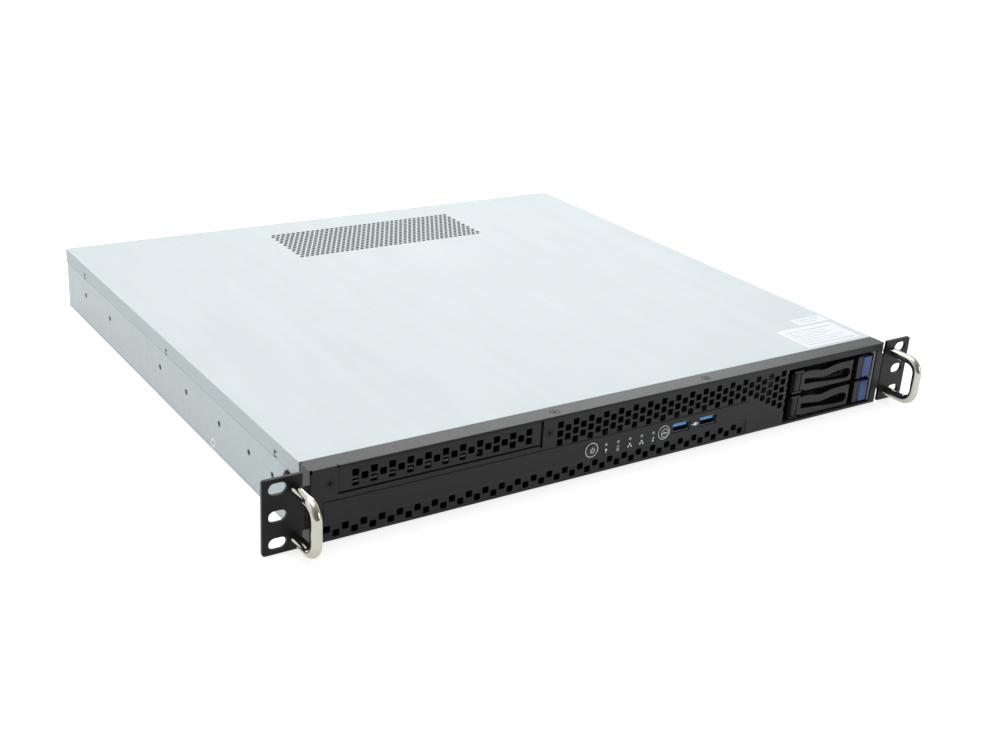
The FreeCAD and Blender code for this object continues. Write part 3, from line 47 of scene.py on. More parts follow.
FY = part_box("front_bezel")[0].y + 0.0005      # plane of the bezel's perforated face
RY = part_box("top_cover")[1].y                 # rear end of the cover
MM = 0.001


# ---------------------------------------------------------------- materials
def lin(r, g, b):
    """Display colour, 0 to 255, to a linear one."""
    def one(c):
        c /= 255.0
        return c / 12.92 if c <= 0.04045 else ((c + 0.055) / 1.055) ** 2.4
    return (one(r), one(g), one(b), 1.0)


def scaled(c, k):
    return tuple(min(1.0, max(0.0, v * k)) for v in c[:3]) + (1.0,)


class Mat:
    """A node material that grows by parts: colour variation, roughness variation and surface relief."""

    def __init__(self, name, colour, rough=0.5, metal=0.0, spec=0.5):
        self.m = bpy.data.materials.new(name)
        self.m.use_nodes = True
        self.t = self.m.node_tree
        self.t.nodes.clear()
        self.out = self.t.nodes.new("ShaderNodeOutputMaterial")
        self.b = self.t.nodes.new("ShaderNodeBsdfPrincipled")
        self.t.links.new(self.b.outputs[0], self.out.inputs[0])
        self.co = self.t.nodes.new("ShaderNodeTexCoord").outputs["Object"]
        self.colour = colour
        self.col = None
        self.b.inputs["Base Color"].default_value = colour
        self.b.inputs["Roughness"].default_value = rough
        self.b.inputs["Metallic"].default_value = metal
        self.b.inputs["Specular IOR Level"].default_value = spec
        self.rough = rough
        self.normal = None
        self.m.diffuse_color = colour

    def noise(self, scale, detail=3.0, rough=0.55, stretch=(1, 1, 1), distort=0.0):
        src = self.co
        if stretch != (1, 1, 1):
            mp = self.t.nodes.new("ShaderNodeMapping")
            mp.inputs["Scale"].default_value = stretch
            self.t.links.new(src, mp.inputs["Vector"])
            src = mp.outputs[0]
        n = self.t.nodes.new("ShaderNodeTexNoise")
        n.inputs["Scale"].default_value = scale
        n.inputs["Detail"].default_value = detail
        n.inputs["Roughness"].default_value = rough
        n.inputs["Distortion"].default_value = distort
        self.t.links.new(src, n.inputs["Vector"])
        return n.outputs["Fac"]

    def cells(self, scale, stretch=(1, 1, 1)):
        v = self.t.nodes.new("ShaderNodeTexVoronoi")
        v.inputs["Scale"].default_value = scale
        src = self.co
        if stretch != (1, 1, 1):
            mp = self.t.nodes.new("ShaderNodeMapping")
            mp.inputs["Scale"].default_value = stretch
            self.t.links.new(src, mp.inputs["Vector"])
            src = mp.outputs[0]
        self.t.links.new(src, v.inputs["Vector"])
        sep = self.t.nodes.new("ShaderNodeSeparateColor")
        self.t.links.new(v.outputs["Color"], sep.inputs[0])
        return sep.outputs[0]

    def spread(self, fac, lo, hi, a=0.3, b=0.7):
        r = self.t.nodes.new("ShaderNodeMapRange")
        r.inputs["From Min"].default_value = a
        r.inputs["From Max"].default_value = b
        r.inputs["To Min"].default_value = lo
        r.inputs["To Max"].default_value = hi
        self.t.links.new(fac, r.inputs["Value"])
        return r.outputs[0]

    def vary(self, fac, dark, light=None, a=0.3, b=0.7):
        """Colour runs from dark to light along fac; a second call multiplies the first."""
        light = light or self.colour
        mix = self.t.nodes.new("ShaderNodeMix")
        mix.data_type = "RGBA"
        self.t.links.new(self.spread(fac, 0, 1, a, b), mix.inputs[0])
        mix.inputs[6].default_value = dark
        mix.inputs[7].default_value = light
        out = mix.outputs[2]
        if self.col is not None:
            mul = self.t.nodes.new("ShaderNodeMix")
            mul.data_type = "RGBA"
            mul.blend_type = "MULTIPLY"
            mul.inputs[0].default_value = 1.0
            self.t.links.new(self.col, mul.inputs[6])
            self.t.links.new(out, mul.inputs[7])
            out = mul.outputs[2]
        self.col = out
        self.t.links.new(out, self.b.inputs["Base Color"])
        return self

    def shade(self, fac, low, a=0.3, b=0.7):
        """Multiplies the colour by low .. 1 along fac."""
        if self.col is None:
            return self.vary(fac, scaled(self.colour, low), self.colour, a, b)
        return self.vary(fac, (low, low, low, 1), (1, 1, 1, 1), a, b)

    def roughness(self, fac, lo, hi, a=0.3, b=0.7):
        self.t.links.new(self.spread(fac, lo, hi, a, b), self.b.inputs["Roughness"])
        return self

    def bump(self, fac, height, strength=1.0):
        n = self.t.nodes.new("ShaderNodeBump")
        n.inputs["Distance"].default_value = height
        n.inputs["Strength"].default_value = strength
        self.t.links.new(fac, n.inputs["Height"])
        if self.normal is not None:
            self.t.links.new(self.normal, n.inputs["Normal"])
        self.normal = n.outputs[0]
        self.t.links.new(self.normal, self.b.inputs["Normal"])
        return self


def zinc_sheet(name, colour, rough=0.42, metal=0.35, along=(1, 1, 1), spec=0.5):
    """Zinc-coated steel: a very fine mottled grain, faint rolled streaks, soft cloudy sheen."""
    m = Mat(name, colour, rough, metal, spec)
    m.shade(m.noise(9, 4, 0.6), 0.965)
    m.shade(m.noise(1600, 2, 0.6), 0.95)
    m.shade(m.noise(90, 3, 0.6, along), 0.975)
    m.roughness(m.noise(260, 4, 0.6, along), rough - 0.06, rough + 0.08)
    m.bump(m.noise(1900, 2, 0.5), 0.00003, 0.5)
    return m.m


def powder(name, colour, rough=0.5, relief=0.00011, scale=1900, spec=0.45, sheen=0.16):
    """Black powder coat with a fine leathery grain."""
    m = Mat(name, colour, rough, 0.0, spec)
    m.shade(m.noise(scale, 3, 0.6), 0.62)
    m.shade(m.noise(24, 3, 0.5), 0.86)
    m.roughness(m.noise(scale * 0.7, 3, 0.6), rough - 0.1, rough + 0.12)
    m.bump(m.noise(scale, 4, 0.6), relief, 0.6)
    m.b.inputs["Sheen Weight"].default_value = sheen
    m.b.inputs["Sheen Roughness"].default_value = 0.35
    m.b.inputs["Sheen Tint"].default_value = (0.8, 0.95, 1.0, 1)
    return m.m


def moulded(name, colour, rough=0.42, spec=0.5, grain=0.00003, scale=2600, coat=0.0):
    """Moulded plastic with a spark-eroded grain and slight sheen changes."""
    m = Mat(name, colour, rough, 0.0, spec)
    m.shade(m.noise(45, 3, 0.5), 0.88)
    m.shade(m.noise(scale, 2, 0.6), 0.85)
    m.roughness(m.noise(140, 4, 0.6), rough - 0.07, rough + 0.09)
    m.bump(m.noise(scale, 3, 0.6), grain, 0.6)
    m.b.inputs["Coat Weight"].default_value = coat
    m.b.inputs["Coat Roughness"].default_value = 0.2
    return m.m


def metal(name, colour, rough=0.3, along=(1, 1, 1), scale=900, relief=0.00001, blotch=0.9):
    m = Mat(name, colour, rough, 1.0)
    m.shade(m.noise(60, 3, 0.6), blotch)
    m.shade(m.noise(scale, 2, 0.6, along), 0.9)
    m.roughness(m.noise(scale * 0.5, 3, 0.6, along), rough - 0.07, rough + 0.1)
    m.bump(m.noise(scale, 3, 0.5, along), relief, 0.5)
    return m.m


def board(name, colour):
    """Solder mask over copper: fine traces as stretched cells, lighter where copper runs below."""
    m = Mat(name, colour, 0.35, 0.0, 0.5)
    m.vary(m.cells(260, (1, 0.12, 1)), scaled(colour, 0.62), scaled(colour, 1.35), 0.35, 0.5)
    m.shade(m.cells(190, (0.1, 1, 1)), 0.72, 0.5, 0.62)
    m.roughness(m.noise(200, 3), 0.28, 0.45)
    m.bump(m.cells(260, (1, 0.12, 1)), 0.00003, 0.4)
    return m.m


def paper(name, colour):
    m = Mat(name, colour, 0.5, 0.0, 0.5)
    m.shade(m.noise(1500, 3, 0.6), 0.95)
    m.shade(m.noise(25, 2, 0.5), 0.98)
    m.roughness(m.noise(700, 3), 0.42, 0.58)
    m.bump(m.noise(1500, 3, 0.6), 0.00002, 0.4)
    return m.m


def region(m, box, colour):
    """Gives the faces whose points lie inside a box, in metres, another colour."""
    t = m.node_tree
    b = next(n for n in t.nodes if n.type == "BSDF_PRINCIPLED")
    sep = t.nodes.new("ShaderNodeSeparateXYZ")
    t.links.new(t.nodes["Texture Coordinate"].outputs["Object"], sep.inputs[0])
    (x0, x1), (y0, y1), (z0, z1) = box

    def inside(value, lo, hi):
        mid, half = (lo + hi) / 2, (hi - lo) / 2
        n = t.nodes.new("ShaderNodeMath")
        n.operation = "COMPARE"
        t.links.new(value, n.inputs[0])
        n.inputs[1].default_value = mid
        n.inputs[2].default_value = half
        return n.outputs[0]

    def times(a, c):
        n = t.nodes.new("ShaderNodeMath")
        n.operation = "MULTIPLY"
        t.links.new(a, n.inputs[0])
        t.links.new(c, n.inputs[1])
        return n.outputs[0]
    fac = times(times(inside(sep.outputs[0], x0, x1), inside(sep.outputs[1], y0, y1)), inside(sep.outputs[2], z0, z1))
    mix = t.nodes.new("ShaderNodeMix")
    mix.data_type = "RGBA"
    t.links.new(fac, mix.inputs[0])
    mix.inputs[7].default_value = colour
    link = b.inputs["Base Color"].links[0]
    t.links.new(link.from_socket, mix.inputs[6])
    t.links.new(mix.outputs[2], b.inputs["Base Color"])
    return m


BLACK = lin(30, 30, 32)
# near-black colour painted as shade on the sheets inside the case
PAINTED_SHADE_SHEET = lin(34, 35, 37)
M = {
    "zinc_sheet": zinc_sheet("zinc_sheet", lin(186, 197, 200), 0.44, 0.3, (0.05, 1, 1)),
    "cover_sheet": zinc_sheet("cover_sheet", lin(209, 218, 220), 0.44, 0.28, (1, 0.05, 1)),
    "bezel_paint": powder("bezel_paint", lin(18, 18, 20), 0.37, 0.00009, 1500, 0.25),
    "ear_paint": powder("ear_paint", lin(15, 15, 16), 0.44, 0.00007, 1700, 0.22, 0.13),
    "black_screw": metal("black_screw", lin(44, 44, 46), 0.38),
    "zinc_screw": metal("zinc_screw", lin(206, 210, 212), 0.26),
    "board_black": board("board_black", lin(15, 15, 16)),
    "board_green": board("board_green", lin(24, 92, 56)),
    "black_plastic": moulded("black_plastic", lin(30, 30, 31), 0.45),
    "button_plastic": moulded("button_plastic", lin(34, 34, 36), 0.38),
    "light_pipe": moulded("light_pipe", lin(138, 141, 144), 0.26, 0.5, 0.00001, 900, 0.3),
    "port_steel": metal("port_steel", lin(214, 215, 216), 0.24, (1, 0.1, 1)),
    "usb_blue": moulded("usb_blue", lin(26, 146, 222), 0.3, 0.5, 0.00001, 1200, 0.2),
    "cage_steel": zinc_sheet("cage_steel", lin(205, 206, 200), 0.36, 0.35),
    "caddy_plastic": moulded("caddy_plastic", lin(19, 19, 21), 0.42, 0.4, 0.00003, 2200),
    "lever_plastic": moulded("lever_plastic", lin(22, 22, 24), 0.4, 0.33, 0.00002, 2200),
    "tab_blue": moulded("tab_blue", lin(47, 74, 132), 0.38, 0.36, 0.00002, 2000, 0.15),
    "drive_case": metal("drive_case", lin(198, 200, 203), 0.34, (1, 0.06, 1)),
    "rotor_plastic": moulded("rotor_plastic", lin(24, 24, 25), 0.42),
    "heatsink_metal": metal("heatsink_metal", lin(212, 214, 216), 0.3, (1, 0.04, 1)),
    "pin_steel": metal("pin_steel", lin(190, 192, 194), 0.22),
    "label_paper": paper("label_paper", lin(213, 218, 221)),
}


def chrome():
    m = Mat("handle_chrome", lin(184, 183, 173), 0.1, 1.0)
    m.shade(m.noise(35, 3, 0.6), 0.93)
    m.roughness(m.noise(900, 4, 0.6, (1, 1, 0.15)), 0.06, 0.17)
    m.bump(m.noise(1400, 3, 0.5, (1, 1, 0.2)), 0.000006, 0.5)
    return m.m


M["handle_chrome"] = chrome()
ink = Mat("ink_white", lin(225, 229, 231), 0.55, 0.0, 0.4)
ink.shade(ink.noise(2600, 3, 0.6), 0.8)
ink.bump(ink.noise(1500, 4, 0.6), 0.00005, 0.5)
M["ink_white"] = ink.m
M["gold"] = metal("contact_gold", lin(222, 178, 92), 0.22)
M["socket_black"] = moulded("socket_black", lin(19, 19, 20), 0.5)
# painted shadow: near-black plastic for the plates beside the levers' hinges
M["hinge_shadow_black"] = moulded("hinge_shadow_black", lin(6, 6, 7), 0.75, 0.06)

# painted shade: the box inside the case behind the bezel, seen through its holes, where the sheets are coloured near
# black in place of the shade there
FRONT_ROOM_SHADE_BOX = ((-0.2137, 0.2137), (FY + 0.0005, FY + 0.135), (0.0011, 0.0429))
# painted shade: a darker copy of the zinc for the case's sides, against the lighter top
SHADED_SIDE_ZINC = lin(168, 179, 181)


def painted_bend_shade(m, height, low):
    """Painted shade on the rounded lower edge of a folded sheet: the colour a little darker over its last millimetres.
    """
    t = m.node_tree
    b = next(n for n in t.nodes if n.type == "BSDF_PRINCIPLED")
    sep = t.nodes.new("ShaderNodeSeparateXYZ")
    t.links.new(t.nodes["Texture Coordinate"].outputs["Object"], sep.inputs[0])
    r = t.nodes.new("ShaderNodeMapRange")
    r.inputs["From Min"].default_value = 0.0003
    r.inputs["From Max"].default_value = height
    r.inputs["To Min"].default_value = low
    r.inputs["To Max"].default_value = 1.0
    t.links.new(sep.outputs[2], r.inputs["Value"])
    mul = t.nodes.new("ShaderNodeMix")
    mul.data_type = "RGBA"
    mul.blend_type = "MULTIPLY"
    mul.inputs[0].default_value = 1.0
    t.links.new(b.inputs["Base Color"].links[0].from_socket, mul.inputs[6])
    t.links.new(r.outputs[0], mul.inputs[7])
    t.links.new(mul.outputs[2], b.inputs["Base Color"])
    return m


# tray: darker side zinc as painted shade of the sides, near-black painted shade inside its front, painted shade along
# its bent lower edge
M["tray_sheet"] = painted_bend_shade(region(zinc_sheet("tray_sheet", SHADED_SIDE_ZINC, 0.44, 0.3, (0.05, 1, 1)), FRONT_ROOM_SHADE_BOX, PAINTED_SHADE_SHEET), 0.0022, 0.8)
cover = zinc_sheet("cover_steel", lin(197, 206, 208), 0.62, 0.08, (1, 0.05, 1), 0.22)
# painted shade inside the cover: its upper inside a darker grey, and near black inside the front behind the bezel
region(cover, ((-0.2137, 0.2137), (FY, RY - 0.0004), (0.02, 0.04345)), lin(96, 102, 104))
region(cover, FRONT_ROOM_SHADE_BOX, PAINTED_SHADE_SHEET)
# painted shade: the cover's side strips take the darker side zinc, unlike its top
for sx in (-1, 1):
    region(cover, ((sx * 0.215 - 0.0004, sx * 0.215 + 0.0004), (FY, RY + 0.001), (0.03, 0.04355)), SHADED_SIDE_ZINC)
M["cover_steel"] = cover
# the slim bay's tray: a darker zinc, near black over its front 32 mm as painted shade seen through the panel's holes
M["bay_sheet_painted_shade"] = region(zinc_sheet("bay_sheet_painted_shade", lin(120, 126, 128), 0.44, 0.3, (0.05, 1, 1)),
                        ((-0.3, 0.3), (FY - 0.01, FY + 0.032), (0.0, 0.05)), lin(14, 14, 15))
# painted shade: the recess of a caddy behind its lever, coloured near black
region(M["caddy_plastic"], ((0.1, 0.1925), (FY + 0.0066, FY + 0.2), (0.0, 0.05)), lin(6, 6, 7))
M["ink_grey"] = paper("ink_grey", lin(176, 184, 194))
# painted shade: a darker copy of the port steel for the front sockets' shells, dimming their recessed rims
M["socket_shell_shaded"] = metal("socket_shell_shaded", lin(118, 120, 124), 0.34)
# painted highlight: near-white, non-metal zinc for the slim bay's lip, standing in for glints
M["lip_zinc_painted_glint"] = zinc_sheet("lip_zinc_painted_glint", lin(246, 249, 250), 0.4, 0.0)
# painted shade: a darker copy of the zinc for the fan bracket inside the case
M["inner_sheet_painted_shade"] = zinc_sheet("inner_sheet_painted_shade", lin(84, 88, 91), 0.42, 0.4)
SPECIAL = {"chassis_tray": "tray_sheet", "top_cover": "cover_steel", "slim_bay_tray": "bay_sheet_painted_shade",
           "fan_bracket": "inner_sheet_painted_shade", "usb_shells": "socket_shell_shaded"}

for s in frame["record"]["subparts"]:
    o = NODES[s["node"]]
    o.data.materials.clear()
    o.data.materials.append(M[SPECIAL.get(s["node"], s["material_slot"])])


# ---------------------------------------------------------------- rounded edges on the CAD parts
def round_edges(node, width, segments=2, angle=35):
    o = NODES[node]
    w = o.modifiers.new("join", "WELD")
    w.merge_threshold = 0.000002
    b = o.modifiers.new("edges", "BEVEL")
    b.width = width
    b.segments = segments
    b.limit_method = "ANGLE"
    b.angle_limit = math.radians(angle)
    b.use_clamp_overlap = True
    b.harden_normals = False
    b.miter_outer = "MITER_SHARP"


for node, width in (("front_bezel", 0.00035), ("slim_bay_panel", 0.0001), ("left_ear", 0.00025), ("right_ear", 0.00025),
                    ("chassis_tray", 0.00015), ("lower_caddy", 0.00025), ("upper_caddy", 0.00025),
                    ("lower_caddy_lever", 0.00045), ("upper_caddy_lever", 0.00045),
                    ("lower_release_tab", 0.0003), ("upper_release_tab", 0.0003), ("power_inlet", 0.0004)):
    round_edges(node, width)


# ---------------------------------------------------------------- extra pieces
def mesh_piece(name, material, body, verts, faces, smooth=False):
    me = bpy.data.meshes.new(name)
    me.from_pydata(verts, [], faces)
    me.validate()
    bm = bmesh.new()
    bm.from_mesh(me)
    bmesh.ops.recalc_face_normals(bm, faces=bm.faces[:])
    bm.to_mesh(me)
    bm.free()
    if smooth:
        for p in me.polygons:
            p.use_smooth = True
    o = bpy.data.objects.new(name, me)
    bpy.context.scene.collection.objects.link(o)
    o.data.materials.append(M[material])
    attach(o, body)
    return o


class Marks:
    """Thin raised ink on the plane y, drawn in x and z in millimetres, gathered in one mesh."""

    def __init__(self, y, thick=0.05):
        self.v, self.f, self.y, self.k = [], [], y, thick * MM

    def prism(self, ring, holes=None):
        n, s = len(ring), len(self.v)
        for y in (self.y - self.k, self.y + 0.00004):
            self.v += [(x * MM, y, z * MM) for x, z in ring]
        self.f.append([s + i for i in range(n)])
        self.f.append([s + n + i for i in reversed(range(n))])
        for i in range(n):
            j = (i + 1) % n
            self.f.append([s + i, s + j, s + n + j, s + n + i])

    def band(self, inner, outer, closed=True):
        """A strip between two polylines with the same number of points."""
        n, s = len(inner), len(self.v)
        for ring in (inner, outer):
            for y in (self.y - self.k, self.y + 0.00004):
                self.v += [(x * MM, y, z * MM) for x, z in ring]
        a, b, c, d = s, s + n, s + 2 * n, s + 3 * n
        for i in range(n if closed else n - 1):
            j = (i + 1) % n
            self.f += [[a + i, a + j, c + j, c + i], [b + i, d + i, d + j, b + j],
                       [a + i, b + i, b + j, a + j], [c + i, c + j, d + j, d + i]]
        if not closed:
            for i in (0, n - 1):
                self.f.append([a + i, b + i, d + i, c + i])

    def ring(self, x, z, r, w, a0=0, a1=360, n=64):
        closed = abs(a1 - a0) >= 360
        m = n if closed else max(6, int(n * abs(a1 - a0) / 360)) + 1
        ang = [math.radians(a0 + (a1 - a0) * i / (m if closed else m - 1)) for i in range(m)]
        self.band([(x + (r - w / 2) * math.cos(t), z + (r - w / 2) * math.sin(t)) for t in ang],
                  [(x + (r + w / 2) * math.cos(t), z + (r + w / 2) * math.sin(t)) for t in ang], closed)

    def disc(self, x, z, r, n=28):
        self.prism([(x + r * math.cos(2 * math.pi * i / n), z + r * math.sin(2 * math.pi * i / n)) for i in range(n)])

    def line(self, x0, z0, x1, z1, w):
        dx, dz = x1 - x0, z1 - z0
        k = w / 2 / math.hypot(dx, dz)
        nx, nz = -dz * k, dx * k
        self.prism([(x0 + nx, z0 + nz), (x0 - nx, z0 - nz), (x1 - nx, z1 - nz), (x1 + nx, z1 + nz)])

    def done(self, name, material, body):
        return mesh_piece(name, material, body, self.v, self.f)


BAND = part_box("front_bezel")[0].y              # face of the raised control band
px, rx, cz = -31.7, 23.6, 16.7
k = Marks(BAND)
k.ring(px, cz, 4.45, 0.42)
k.ring(rx, cz, 4.35, 0.36)
k.disc(-20.8, 14.0 + 0.6, 0.75)                # lamp
k.line(-21.2, 13.15, -20.4, 13.15, 0.3)
k.line(-21.1, 12.7, -20.5, 12.7, 0.26)
for dz in (-0.95, 0.0, 0.95):                  # stacked disc store
    k.ring(-11.8, 13.9 + dz, 0.78, 0.24, 180, 360, 30)
k.ring(-11.8, 14.85, 0.78, 0.24)
k.line(-12.55, 12.95, -12.55, 14.85, 0.24)
k.line(-11.05, 12.95, -11.05, 14.85, 0.24)
for x in (-2.8, 6.3):                          # network tree
    k.prism([(x - 0.55, 14.5), (x + 0.55, 14.5), (x + 0.55, 15.3), (x - 0.55, 15.3)])
    for s in (-1, 1):
        cx = x + s * 1.15
        k.prism([(cx - 0.5, 12.6), (cx + 0.5, 12.6), (cx + 0.5, 13.35), (cx - 0.5, 13.35)])
        k.line(cx, 13.3, cx, 13.95, 0.22)
    k.line(x, 13.9, x, 14.55, 0.22)
    k.line(x - 1.26, 13.92, x + 1.26, 13.92, 0.22)
k.disc(15.2, 12.95, 0.62)                      # thermometer
k.line(15.2, 12.95, 15.2, 15.35, 0.42)
for dz in (0, 0.6, 1.2):
    k.line(15.6, 14.0 + dz, 16.15, 14.0 + dz, 0.18)
k.line(45.2, 17.5, 47.6, 17.5, 0.34)           # a plug on its lead
k.prism([(47.5, 16.5), (49.6, 16.5), (49.6, 18.5), (47.5, 18.5)])
k.prism([(49.6, 16.85), (51.3, 16.85), (51.3, 17.2), (49.6, 17.2)])
k.prism([(49.6, 17.8), (51.3, 17.8), (51.3, 18.15), (49.6, 18.15)])
k.done("control_marks", "ink_white", "chassis")

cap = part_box("power_button")[0].y
k = Marks(cap, 0.04)
k.ring(px, cz, 1.35, 0.34, 125, 415)
k.line(px, cz + 0.35, px, cz + 2.1, 0.34)
k.done("power_mark", "ink_white", "power_button")
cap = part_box("reset_button")[0].y
k = Marks(cap, 0.04)
k.line(rx - 1.9, cz, rx + 1.9, cz, 0.5)
k.ring(rx, cz, 2.75, 0.3)
k.done("reset_mark", "ink_white", "reset_button")

# ---------------------------------------------------------------- small fitted details
class Blocks:
    """Bevelled boxes and round pins, in millimetres from the bezel face in y, gathered in one mesh."""

    def __init__(self):
        self.bm = bmesh.new()

    def box(self, x0, x1, y0, y1, z0, z1, bevel=0.12):
        r = bmesh.ops.create_cube(self.bm, size=1.0)["verts"]
        for v in r:
            v.co = Vector(((x0 if v.co.x < 0 else x1) * MM, FY + (y0 if v.co.y < 0 else y1) * MM, (z0 if v.co.z < 0 else z1) * MM))
        edges = {e for v in r for e in v.link_edges}
        if bevel:
            bmesh.ops.bevel(self.bm, geom=list(edges), offset=bevel * MM, segments=2, affect="EDGES", profile=0.5)
        return self

    def poly(self, ring, y0, y1):
        """A prism along y from a ring of x and z."""
        lo = [self.bm.verts.new((x * MM, FY + y0 * MM, z * MM)) for x, z in ring]
        hi = [self.bm.verts.new((x * MM, FY + y1 * MM, z * MM)) for x, z in ring]
        self.bm.faces.new(lo)
        self.bm.faces.new(hi[::-1])
        for i in range(len(ring)):
            j = (i + 1) % len(ring)
            self.bm.faces.new([lo[i], lo[j], hi[j], hi[i]])
        return self

    def pin(self, x, z, r, y0, y1, n=20):
        return self.poly([(x + r * math.cos(2 * math.pi * i / n), z + r * math.sin(2 * math.pi * i / n)) for i in range(n)], y0, y1)

    def done(self, name, material, body="chassis"):
        bmesh.ops.recalc_face_normals(self.bm, faces=self.bm.faces[:])
        me = bpy.data.meshes.new(name)
        self.bm.to_mesh(me)
        self.bm.free()
        o = bpy.data.objects.new(name, me)
        bpy.context.scene.collection.objects.link(o)
        me.materials.append(M[material])
        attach(o, body)
        return o


# folded lip of the slim bay's tray, seen through the lower row of holes; its near-white, non-metal finish is a painted
# highlight standing in for the glints there
Blocks().box(-191, -108, 5.6, 6.4, 27.45, 29.6, 0.2).done("slim_bay_lip", "lip_zinc_painted_glint")

# thin dark strip in the gap left of and above the slim bay's panel, set just below the face, standing in for the shade
# in that gap
px0, px1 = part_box("slim_bay_panel")[0].x / MM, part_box("slim_bay_panel")[1].x / MM
k = Blocks()
k.box(px0 - 0.57, px0 - 0.03, 0.1, 0.95, 28.3, 42.2, 0.04)
k.box(px0 - 0.57, px1, 0.1, 0.95, 42.23, 42.67, 0.04)
k.done("slim_bay_gap_shade", "bezel_paint")

# near-black plate beside each lever's hinge, painted shadow standing in for the shade there: a front plate on a side
# wall, clear of the barrel
for side in ("lower", "upper"):
    lo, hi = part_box(side + "_caddy")
    gx, gz0, gz1 = lo.x / MM, lo.z / MM, hi.z / MM
    k = Blocks()
    k.box(gx + 0.1, gx + 4.4, 1.6, 2.2, gz0 + 1.3, gz1 - 1.3, 0.15)
    k.box(gx + 0.1, gx + 1.0, 1.6, 6.8, gz0 + 1.3, gz1 - 1.3, 0.15)
    k.done(side + "_hinge_shadow_plate", "hinge_shadow_black", side + "_caddy_unit")

# contacts of the two front sockets, below their tongues
k = Blocks()
for x in (37.4, 59.2):
    for i in (-1.5, -0.5, 0.5, 1.5):
        k.box(x + i * 2.1 - 0.45, x + i * 2.1 + 0.45, 1.6, 8.0, 17.55, 17.93, 0.08)
k.done("front_socket_contacts", "gold")

# rear sockets: contacts, tongues, shaped faces and lock nuts
ZB = 7.8
k, tongue, dark, video, nuts = Blocks(), Blocks(), Blocks(), Blocks(), Blocks()
for a, c in ((-95, -79), (-77, -61), (34, 50)):
    for i in range(8):
        x = (a + c) / 2 + (i - 3.5) * 1.1
        k.box(x - 0.22, x + 0.22, 392.5, 399.2, ZB + 2.6, ZB + 3.0, 0.05)
    dark.box(a + 1.65, c - 1.65, 391.0, 391.6, ZB + 2.05, ZB + 11.9, 0.05)
    dark.box(a + 1.62, a + 2.1, 391.4, 400.5, ZB + 2.05, ZB + 11.9, 0.1)
    dark.box(c - 2.1, c - 1.62, 391.4, 400.5, ZB + 2.05, ZB + 11.9, 0.1)
    dark.box(a + 1.65, c - 1.65, 391.4, 400.5, ZB + 11.5, ZB + 11.95, 0.1)
    dark.box(a + 1.65, c - 1.65, 391.4, 400.5, ZB + 2.03, ZB + 2.45, 0.1)
    for s in (a + 3.1, c - 3.1):
        tongue.box(s - 1.1, s + 1.1, 400.7, 400.95, ZB + 10.9 + 1.25, ZB + 12.9, 0.08)
for z in (ZB + 5.2, ZB + 11.2):
    dark.box(-54.3, -45.7, 391.0, 399.6, z - 0.9, z + 0.9, 0.15)
for x0, fill in ((-22.5, video), (13.5, dark)):
    ring = [(x0 - 8.6, ZB + 9.6), (x0 + 8.6, ZB + 9.6), (x0 + 7.2, ZB + 3.0), (x0 - 7.2, ZB + 3.0)]
    fill.poly(ring, 391.5, 400.2)
    for s in (-1, 1):
        hexagon = [(x0 + s * 12.2 + 1.6 * math.cos(math.radians(60 * i)), ZB + 6.3 + 1.6 * math.sin(math.radians(60 * i))) for i in range(6)]
        nuts.poly(hexagon, 391.5, 401.3)
k.done("rear_contacts", "gold")
tongue.done("rear_link_windows", "light_pipe")
dark.done("rear_socket_inserts", "socket_black")
video.done("video_socket_insert", "usb_blue")
nuts.done("rear_lock_nuts", "zinc_screw")
k = Blocks()
for x0, rows in ((-22.5, (5, 5, 5)), (13.5, (5, 4))):
    for j, n in enumerate(rows):
        for i in range(n):
            k.pin(x0 + (i - (n - 1) / 2) * (2.3 if len(rows) == 3 else 2.75) + (0.55 if j == 1 and len(rows) == 3 else 0),
                  ZB + (8.3 - j * 2.0 if len(rows) == 3 else 7.8 - j * 2.9), 0.5, 400.1, 400.35, 14)
k.done("rear_pin_sockets", "gold")

# faint ruled lines on the blank labels of the cover
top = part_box("cover_label")[1].z
v, f = [], []
for x0, x1, y, w in [(162, 205, 41.5, 0.5), (162, 196, 37.5, 0.35), (162, 199, 34.0, 0.35), (162, 190, 30.5, 0.35),
                     (162, 202, 27.0, 0.35), (162, 194, 23.5, 0.35), (162, 205, 19.5, 0.5), (187, 208, 57.0, 0.4), (187, 203, 53.0, 0.35)]:
    n = len(v)
    for z in (top - 0.00001, top + 0.00003):
        v += [(x0 * MM, FY + (y - w) * MM, z), (x1 * MM, FY + (y - w) * MM, z), (x1 * MM, FY + (y + w) * MM, z), (x0 * MM, FY + (y + w) * MM, z)]
    f += [[n, n + 1, n + 2, n + 3], [n + 4, n + 5, n + 6, n + 7]] + [[n + i, n + (i + 1) % 4, n + 4 + (i + 1) % 4, n + 4 + i] for i in range(4)]
mesh_piece("label_rules", "ink_grey", "chassis", v, f)

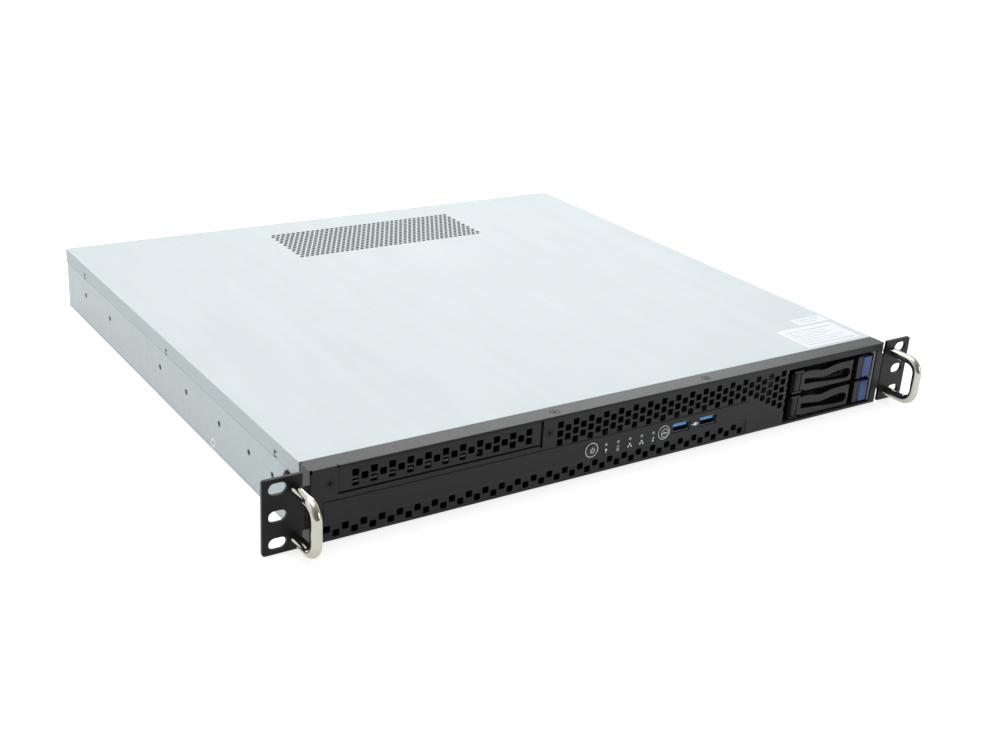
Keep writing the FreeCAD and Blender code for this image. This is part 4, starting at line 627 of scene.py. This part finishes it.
# ---------------------------------------------------------------- studio
world = bpy.data.worlds.new("studio")
bpy.context.scene.world = world
world.use_nodes = True
wt = world.node_tree
bg = wt.nodes["Background"]
bg.inputs[0].default_value = (1.0, 1.0, 1.0, 1)
wc = wt.nodes.new("ShaderNodeTexCoord")        # a bright backdrop behind, a darker room in front
ws = wt.nodes.new("ShaderNodeSeparateXYZ")
wt.links.new(wc.outputs["Generated"], ws.inputs[0])
wr = wt.nodes.new("ShaderNodeMapRange")
wr.inputs["From Min"].default_value = -0.75
wr.inputs["From Max"].default_value = 0.75
wr.inputs["To Min"].default_value = 0.26
wr.inputs["To Max"].default_value = 1.25
wt.links.new(ws.outputs[1], wr.inputs["Value"])
wp = wt.nodes.new("ShaderNodeLightPath")       # the backdrop itself is white all round
wm = wt.nodes.new("ShaderNodeMix")
wm.data_type = "FLOAT"
wt.links.new(wp.outputs["Is Camera Ray"], wm.inputs[0])
wt.links.new(wr.outputs[0], wm.inputs[2])
wm.inputs[3].default_value = 1.25
wt.links.new(wm.outputs[0], bg.inputs[1])

bpy.ops.mesh.primitive_plane_add(size=16, location=(0, 0, 0))
floor = bpy.context.object
floor.name = "floor"
fm = Mat("floor_white", lin(196, 196, 196), 0.7, 0.0, 0.2)
fm.shade(fm.noise(4, 2), 0.99)
fm.b.inputs["Emission Color"].default_value = (1, 1, 1, 1)
fm.b.inputs["Emission Strength"].default_value = 0.66
floor.data.materials.append(fm.m)


def area(name, loc, target, size, power, size_y=None):
    d = bpy.data.lights.new(name, "AREA")
    d.energy = power
    d.size = size
    if size_y:
        d.shape = "RECTANGLE"
        d.size_y = size_y
    o = bpy.data.objects.new(name, d)
    bpy.context.scene.collection.objects.link(o)
    o.location = loc
    o.visible_camera = False
    o.rotation_euler = (Vector(target) - Vector(loc)).to_track_quat("-Z", "Y").to_euler()
    return o


area("top_soft", (-0.2, 0.5, 2.0), (0, 0, 0), 2.4, 26)
area("left_soft", (-2.0, 0.5, 0.9), (-0.1, 0, 0.03), 1.4, 3)
area("right_soft", (1.5, -1.7, 0.7), (0.15, -0.15, 0.03), 1.0, 9)

area("back_soft", (1.7, 2.4, 1.25), (0, -0.1, 0.03), 1.7, 20)

cam_data = bpy.data.cameras.new("camera")
cam = bpy.data.objects.new("camera", cam_data)
bpy.context.scene.collection.objects.link(cam)
cam_data.sensor_width = 36
cam_data.lens = 49.43
right, up, fwd = Vector((0.8329, -0.5500, 0.0613)), Vector((0.1665, 0.3546, 0.9201)), Vector((0.5278, 0.7561, -0.3870))
cam.matrix_world = Matrix((
    (right.x, up.x, -fwd.x, -0.4967),
    (right.y, up.y, -fwd.y, -0.7547),
    (right.z, up.z, -fwd.z, 0.3675),
    (0, 0, 0, 1)))
bpy.context.scene.camera = cam
bpy.context.scene.view_settings.view_transform = "Standard"
